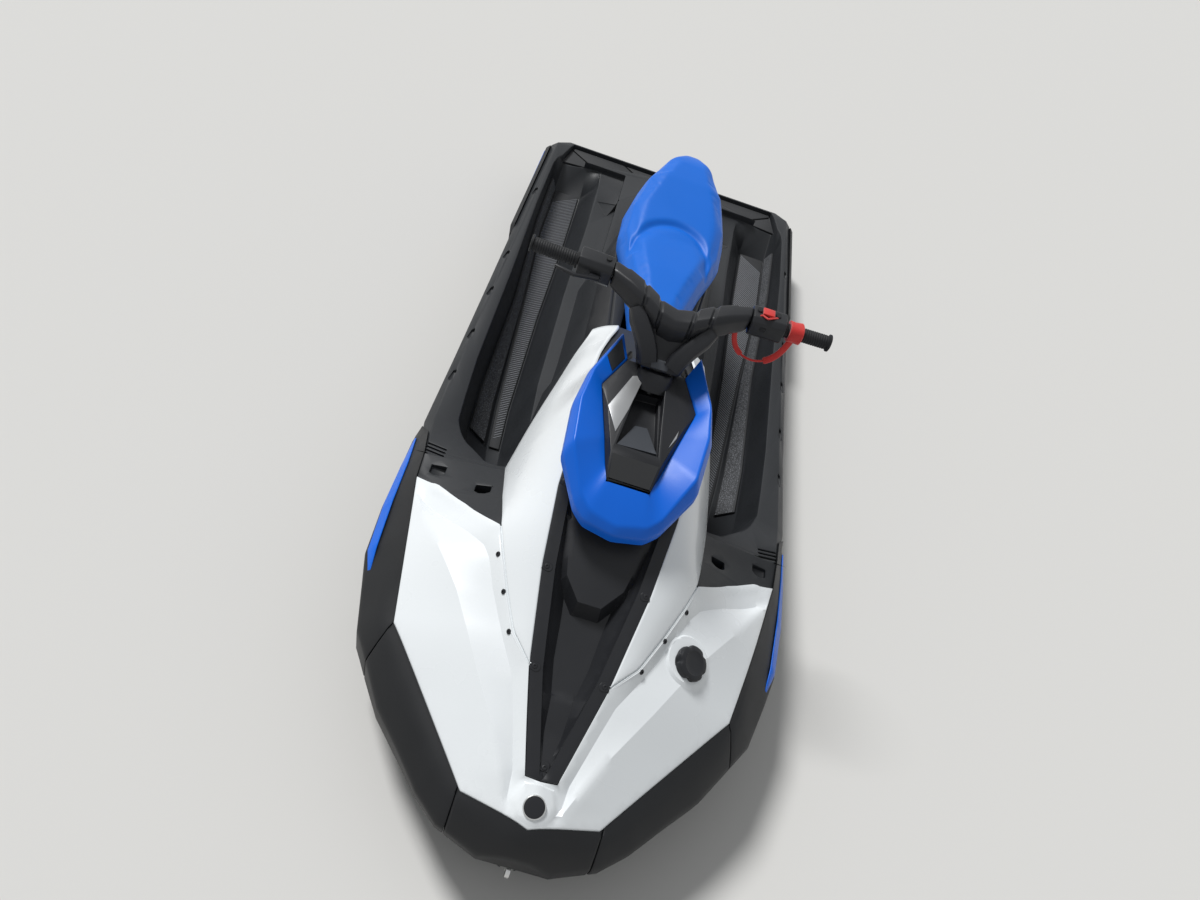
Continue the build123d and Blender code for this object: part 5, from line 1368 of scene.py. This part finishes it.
def stem():
    """The stem: a core on the steering axis, and two arms that fork out to the cover."""
    across = Vector(Y)
    front = across.cross((steer_point(1.0) - steer_point(0.0)).normalized())
    core = [round_box(steer_point(d), across, -front, a, b, 5.0, 36) for d, a, b in STEM_CORE]
    finish(skin("steering_core", core), "steering", "dark_trim", ["steering_stem"])
    for side, word in SIDES:
        path = [(x, side * y, z, a, b) for x, y, z, a, b in STEM_ARM]
        finish(tube(f"stem_arm_{word}", path, 5.0, up=(0.6, 0, 0.8)), "steering", "dark_trim")
    axle = [tuple(steer_point(d)) + (AXLE_R, AXLE_R) for d in AXLE]
    finish(tube("steering_axle", axle, 2.0, up=across), "steering", "bar_metal")
    face = [round_box(steer_point(d) + front * push, across, front, wide, 5.0, 6.0, 24)
            for d, push, wide in STEM_PLATE]
    finish(skin("stem_plate", face), "steering", "dark_trim", material=MATERIAL["grey_trim"])
    boot = [round_box(steer_point(d), across, front, r, r, 2.4, 32) for d, r in BOOT]
    finish(skin("steering_boot", boot), "craft", "dark_trim")


def bar_line(side):
    """Where a bar end starts, its direction and its length."""
    inner = Vector((ELBOW[0], side * ELBOW[1], ELBOW[2]))
    run = Vector((BAR_TIP[0], side * BAR_TIP[1], BAR_TIP[2])) - inner
    return inner, run.normalized(), run.length


def grips():
    """Ribbed rubber grips with an end flange."""
    for side, word in SIDES:
        inner, along, full = bar_line(side)
        start = GRIP_START_Y - ELBOW[1]
        steps = [(start + d, r) for d, r in GRIP_HEAD]
        at = start + GRIP_RIBS_FROM
        while at < full - GRIP_RIBS_END:
            steps += [(at + d, r) for d, r in GRIP_RIB]
            at += GRIP_RIB_PITCH
        steps += [(full - d, r) for d, r in GRIP_TAIL]
        rings = [round_box(inner + along * d, X, Z, r, r, 2.0, 28) for d, r in steps]
        finish(skin(f"grip_{word}", rings), "steering", "grip_rubber", ["grips"] if side > 0 else (), sharp=40.0)


def switches():
    dressed("switch_housings", 3.0, 3)
    dressed("throttle_lever", 2.0, 2)
    dressed("stop_switch_clip", 1.5, 2)
    button = [round_box((0, 0, z), X, Y, r, 0.75 * r, 3.0, 24) for r, z in BUTTON_RINGS]
    points = [(place, Z, X, ONE) for place in TOP_BUTTONS]
    points.append((FACE_BUTTON, X, Y, ONE))
    repeated("switch_buttons", skin("button", button), points, "steering", "grip_rubber")


def lanyard():
    """The stop switch's cord with its straps, the tab on the switch and the band round the grip."""
    curve = bpy.data.curves.new("stop_lanyard", "CURVE")
    curve.dimensions = "3D"
    spline = curve.splines.new("NURBS")
    spline.points.add(len(LANYARD) - 1)
    for point, place in zip(spline.points, LANYARD):
        point.co = (*(Vector(place) * MM), 1.0)
    spline.order_u = 3
    spline.use_endpoint_u = True
    curve.bevel_resolution = 4
    curve.use_fill_caps = True
    obj = bpy.data.objects.new("stop_lanyard", curve)
    bpy.context.collection.objects.link(obj)
    curve.materials.append(MATERIAL["red_cord"])
    # The bare line is measured before the cord gets its thickness
    line = bpy.data.meshes.new_from_object(obj.evaluated_get(bpy.context.evaluated_depsgraph_get()))
    run = [v.co.copy() for v in line.vertices]
    curve.bevel_depth = CORD_R * MM
    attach(obj, "steering")
    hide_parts("lanyard")
    for word, low, high, wide in STRAPS:
        part = run[int(low * (len(run) - 1)):int(high * (len(run) - 1)) + 1]
        widths = [0.8 * wide] + [wide] * (len(part) - 2) + [0.8 * wide]
        path = [tuple(p / MM) + (width, STRAP_HALF_T) for p, width in zip(part, widths)]
        strap = tube(f"lanyard_strap_{word}", path, 3.0, 16, (0.7, 0.2, 0.7))
        finish(strap, "steering", "red_band")
    for number, (start, end) in enumerate(zip(TAB, TAB[1:]), 1):
        path = [start + TAB_HALF, end + TAB_HALF]
        finish(tube(f"switch_tab_{number}", path, 2.4, 12), "steering", "red_cord")
    inner, along, _ = bar_line(1)
    wrap = [round_box(inner + along * ((y - inner.y) / along.y), (1, 0.12, 0), Z, r, r * 1.03, 2.4, 36)
            for y, r in WRAP]
    finish(skin("wrist_band", wrap), "steering", "red_band", ["grip_wrap"], sharp=40.0)


# The seat

# The crease between its halves: its line, depth, and how far it fades ahead of the line and behind it
CREASE = [(-246.0, 132.0), (-330.0, 118.0), (-405.0, 78.0), (-438.0, 0.0), (-405.0, -78.0), (-330.0, -118.0),
          (-246.0, -132.0)]
CREASE_DEEP = 15.0
CREASE_FADE = (55.0, 22.0)
# It is pressed into the top alone, from this height in metres, and over this blend
SEAT_TOP_Z = 0.57
SEAT_TOP_BLEND = 0.03
# The pinned base of the cover and the furthest that the cover moves, in metres
CLOTH_BASE = 0.008
CLOTH_REACH = 0.006
CLOTH_PRESSURE = 3.0
CLOTH_TENSION = 40.0
PULL_ROUNDS = 14
EVEN_ROUNDS = 5


def smooth_line(points, steps=8):
    """A smooth plan curve through points."""
    out = []
    rows = [points[0]] + points + [points[-1]]
    for a, b, c, d in zip(rows, rows[1:], rows[2:], rows[3:]):
        a, b, c, d = Vector(a), Vector(b), Vector(c), Vector(d)
        for i in range(steps):
            t = i / steps
            p = 0.5 * (2 * b + (c - a) * t + (2 * a - 5 * b + 4 * c - d) * t * t + (3 * b - a - 3 * c + d) * t ** 3)
            out.append(tuple(p))
    return out + [tuple(points[-1])]


def evened(obj, rounds):
    change = obj.modifiers.new("Even out", "SMOOTH")
    change.factor = 0.5
    change.iterations = rounds
    settle(obj)


def stretch_cover(obj, sizes):
    """A short cloth run: air under the cover lifts it off the padding, by no more than its reach."""
    mesh = obj.data
    base_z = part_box("seat")[0].z + CLOTH_BASE
    group = obj.vertex_groups.new(name="base")
    group.add([v.index for v in mesh.vertices if v.co.z < base_z], 1.0, "REPLACE")
    cloth = obj.modifiers.new("Cover", "CLOTH")
    cloth.settings.use_pressure = True
    cloth.settings.uniform_pressure_force = CLOTH_PRESSURE
    cloth.settings.vertex_group_mass = "base"
    cloth.settings.tension_stiffness = CLOTH_TENSION
    cloth.settings.effector_weights.gravity = 0.0
    cloth.point_cache.frame_end = sizes.seat_frames
    for number in range(1, sizes.seat_frames + 1):
        bpy.context.scene.frame_set(number)
    graph = bpy.context.evaluated_depsgraph_get()
    blown = bpy.data.meshes.new_from_object(obj.evaluated_get(graph))
    moved = [v.co.copy() for v in blown.vertices]
    obj.modifiers.clear()
    bpy.context.scene.frame_set(1)
    for vertex, end in zip(mesh.vertices, moved):
        step = end - vertex.co
        if step.length > CLOTH_REACH:
            step *= CLOTH_REACH / step.length
        vertex.co = vertex.co + step
    bpy.data.meshes.remove(blown)
    obj.vertex_groups.clear()


def seat(sizes):
    """The saddle: a padded form with its cover stretched over it, and the step between its two halves."""
    obj = merged_copy("seat", "seat_cushion")
    change = obj.modifiers.new("Voxels", "REMESH")
    change.mode = "VOXEL"
    change.voxel_size = sizes.seat_voxel
    settle(obj)
    evened(obj, PULL_ROUNDS)
    stretch_cover(obj, sizes)
    mesh = obj.data
    plan = np.array([(v.co.x / MM, v.co.y / MM) for v in mesh.vertices])
    line = smooth_line(CREASE)
    away = reach(plan, line)
    front = inside(plan, line)
    for vertex, gap, fore in zip(mesh.vertices, away, front):
        top = min(1.0, max(0.0, (vertex.co.z - SEAT_TOP_Z) / SEAT_TOP_BLEND))
        dip = CREASE_DEEP * max(0.0, 1.0 - gap / (CREASE_FADE[0] if fore else CREASE_FADE[1])) ** 2
        vertex.co.z -= dip * top * MM
    mesh.update()
    evened(obj, EVEN_ROUNDS)
    finish(obj, "seat", "blue_vinyl", ["seat"], sharp=70.0)


# Stage

def stage(tones):
    """The floor at the waterline, a soft sky, the sun and the photo's camera."""
    half = FLOOR_HALF_M
    mesh = bpy.data.meshes.new("floor")
    mesh.from_pydata([(-half, -half, 0), (half, -half, 0), (half, half, 0), (-half, half, 0)], [], [(0, 1, 2, 3)])
    floor = bpy.data.objects.new("floor", mesh)
    bpy.context.collection.objects.link(floor)
    paint = bpy.data.materials.new("plain floor")
    paint.use_nodes = True
    paint.node_tree.nodes.clear()
    shader = add(paint.node_tree, "ShaderNodeBsdfPrincipled", {
        "Base Color": list(tones.floor) + [1.0], "Roughness": 0.9})
    add(paint.node_tree, "ShaderNodeOutputMaterial", {"Surface": shader.outputs[0]})
    mesh.materials.append(paint)

    scene = bpy.context.scene
    scene.view_settings.view_transform = "Standard"
    world = bpy.data.worlds.new("soft studio")
    scene.world = world
    world.use_nodes = True
    tree = world.node_tree
    tree.nodes.clear()
    ray = add(tree, "ShaderNodeLightPath")
    mirror = add(tree, "ShaderNodeMath", {0: ray.outputs["Is Glossy Ray"], 1: SKY_IN_MIRRORS, 2: SKY},
                 operation="MULTIPLY_ADD")
    level = add(tree, "ShaderNodeMath", {0: ray.outputs["Is Camera Ray"], 1: SKY_BEHIND, 2: mirror.outputs[0]},
                operation="MULTIPLY_ADD")
    sky = add(tree, "ShaderNodeBackground", {"Color": (0.96, 0.98, 1.0, 1.0), "Strength": level.outputs[0]})
    add(tree, "ShaderNodeOutputWorld", {"Surface": sky.outputs[0]})

    lamp = bpy.data.lights.new("sun", "SUN")
    lamp.angle = radians(SUN_SPREAD)
    lamp.energy = SUN_ENERGY
    sun = bpy.data.objects.new("sun", lamp)
    sun.rotation_euler = Vector(SUN_WAY).to_track_quat("-Z", "Y").to_euler()
    bpy.context.collection.objects.link(sun)

    view = bpy.data.cameras.new("camera")
    view.lens = CAMERA_LENS
    view.sensor_width = 36.0
    camera = bpy.data.objects.new("camera", view)
    axes = (Vector(CAMERA_RIGHT), -Vector(CAMERA_DOWN), -Vector(CAMERA_AHEAD))
    camera.matrix_world = Matrix.Translation(CAMERA_AT) @ Matrix(axes).transposed().to_4x4()
    bpy.context.collection.objects.link(camera)
    scene.camera = camera


# Operators

class CRAFT_OT_materials(bpy.types.Operator):
    """Make the finishes and put them on the CAD pieces"""
    bl_idname = "craft.materials"
    bl_label = "Materials"

    def execute(self, context):
        make_materials(context.scene.craft_colours)
        return {"FINISHED"}


class CRAFT_OT_front(bpy.types.Operator):
    """Build the white front deck, the hood and the side cowls"""
    bl_idname = "craft.front"
    bl_label = "Front panels"

    def execute(self, context):
        sizes = context.scene.craft_sizes
        front_deck_panel(sizes)
        hood_panel(sizes)
        cowl_panels(sizes)
        return {"FINISHED"}


class CRAFT_OT_screws(bpy.types.Operator):
    """Set the panel screws with their tabs, and the bolts of the fittings"""
    bl_idname = "craft.screws"
    bl_label = "Panel screws"

    def execute(self, context):
        panel_screws(context.scene.craft_sizes)
        hood_tabs()
        fittings(context.scene.craft_sizes)
        return {"FINISHED"}


class CRAFT_OT_deck(bpy.types.Operator):
    """Build the black deck with its cut-outs, and the pedestal"""
    bl_idname = "craft.deck"
    bl_label = "Deck and pedestal"

    def execute(self, context):
        deck_moulding()
        return {"FINISHED"}


class CRAFT_OT_bumpers(bpy.types.Operator):
    """Round the bumpers and lay their stripes"""
    bl_idname = "craft.bumpers"
    bl_label = "Bumpers and stripes"

    def execute(self, context):
        bumpers(context.scene.craft_sizes)
        stripes()
        return {"FINISHED"}


class CRAFT_OT_hull(bpy.types.Operator):
    """Dress the hull and the ride plate"""
    bl_idname = "craft.hull"
    bl_label = "Hull"

    def execute(self, context):
        hull_moulding()
        return {"FINISHED"}


class CRAFT_OT_mats(bpy.types.Operator):
    """Lay the footwell and platform mats"""
    bl_idname = "craft.mats"
    bl_label = "Mats"

    def execute(self, context):
        mats(context.scene.craft_sizes)
        return {"FINISHED"}


class CRAFT_OT_console(bpy.types.Operator):
    """Build the collar, the console and its display"""
    bl_idname = "craft.console"
    bl_label = "Collar and console"

    def execute(self, context):
        collar_and_console()
        return {"FINISHED"}


class CRAFT_OT_cap(bpy.types.Operator):
    """Build the fuel filler cap"""
    bl_idname = "craft.cap"
    bl_label = "Fuel cap"

    def execute(self, context):
        cap()
        return {"FINISHED"}


class CRAFT_OT_steering(bpy.types.Operator):
    """Build the handlebar with its cover, stem, grips and switches"""
    bl_idname = "craft.steering"
    bl_label = "Steering"

    def execute(self, context):
        handlebar_cover()
        stem()
        grips()
        switches()
        return {"FINISHED"}


class CRAFT_OT_lanyard(bpy.types.Operator):
    """Hang the stop-switch lanyard and its wrist band"""
    bl_idname = "craft.lanyard"
    bl_label = "Lanyard"

    def execute(self, context):
        lanyard()
        return {"FINISHED"}


class CRAFT_OT_seat(bpy.types.Operator):
    """Upholster the seat"""
    bl_idname = "craft.seat"
    bl_label = "Seat"

    def execute(self, context):
        seat(context.scene.craft_sizes)
        return {"FINISHED"}


class CRAFT_OT_stage(bpy.types.Operator):
    """Set the floor, lamps and camera"""
    bl_idname = "craft.stage"
    bl_label = "Stage"

    def execute(self, context):
        stage(context.scene.craft_colours)
        return {"FINISHED"}


OPERATORS = (CRAFT_OT_materials, CRAFT_OT_stage, CRAFT_OT_lanyard, CRAFT_OT_front, CRAFT_OT_screws, CRAFT_OT_deck,
             CRAFT_OT_bumpers, CRAFT_OT_hull, CRAFT_OT_mats, CRAFT_OT_console, CRAFT_OT_cap, CRAFT_OT_steering,
             CRAFT_OT_seat)


class CRAFT_PT_panel(bpy.types.Panel):
    """Steps of the build, in order"""
    bl_idname = "CRAFT_PT_panel"
    bl_label = "Watercraft"
    bl_space_type = "VIEW_3D"
    bl_region_type = "UI"
    bl_category = "Watercraft"

    def draw(self, context):
        for operator in OPERATORS:
            self.layout.operator(operator.bl_idname)
        for group in (context.scene.craft_sizes, context.scene.craft_colours):
            for key in group.bl_rna.properties.keys():
                if key not in ("rna_type", "name"):
                    self.layout.prop(group, key)


CLASSES = (WatercraftColours, WatercraftSizes, CRAFT_PT_panel) + OPERATORS


def register():
    for cls in CLASSES:
        bpy.utils.register_class(cls)
    bpy.types.Scene.craft_colours = PointerProperty(type=WatercraftColours)
    bpy.types.Scene.craft_sizes = PointerProperty(type=WatercraftSizes)


def unregister():
    del bpy.types.Scene.craft_colours
    del bpy.types.Scene.craft_sizes
    for cls in reversed(CLASSES):
        bpy.utils.unregister_class(cls)


def main():
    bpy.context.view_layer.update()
    register()
    for operator in OPERATORS:
        step = operator.bl_idname.split(".")[1]
        getattr(bpy.ops.craft, step)()


if __name__ == "__main__":
    main()
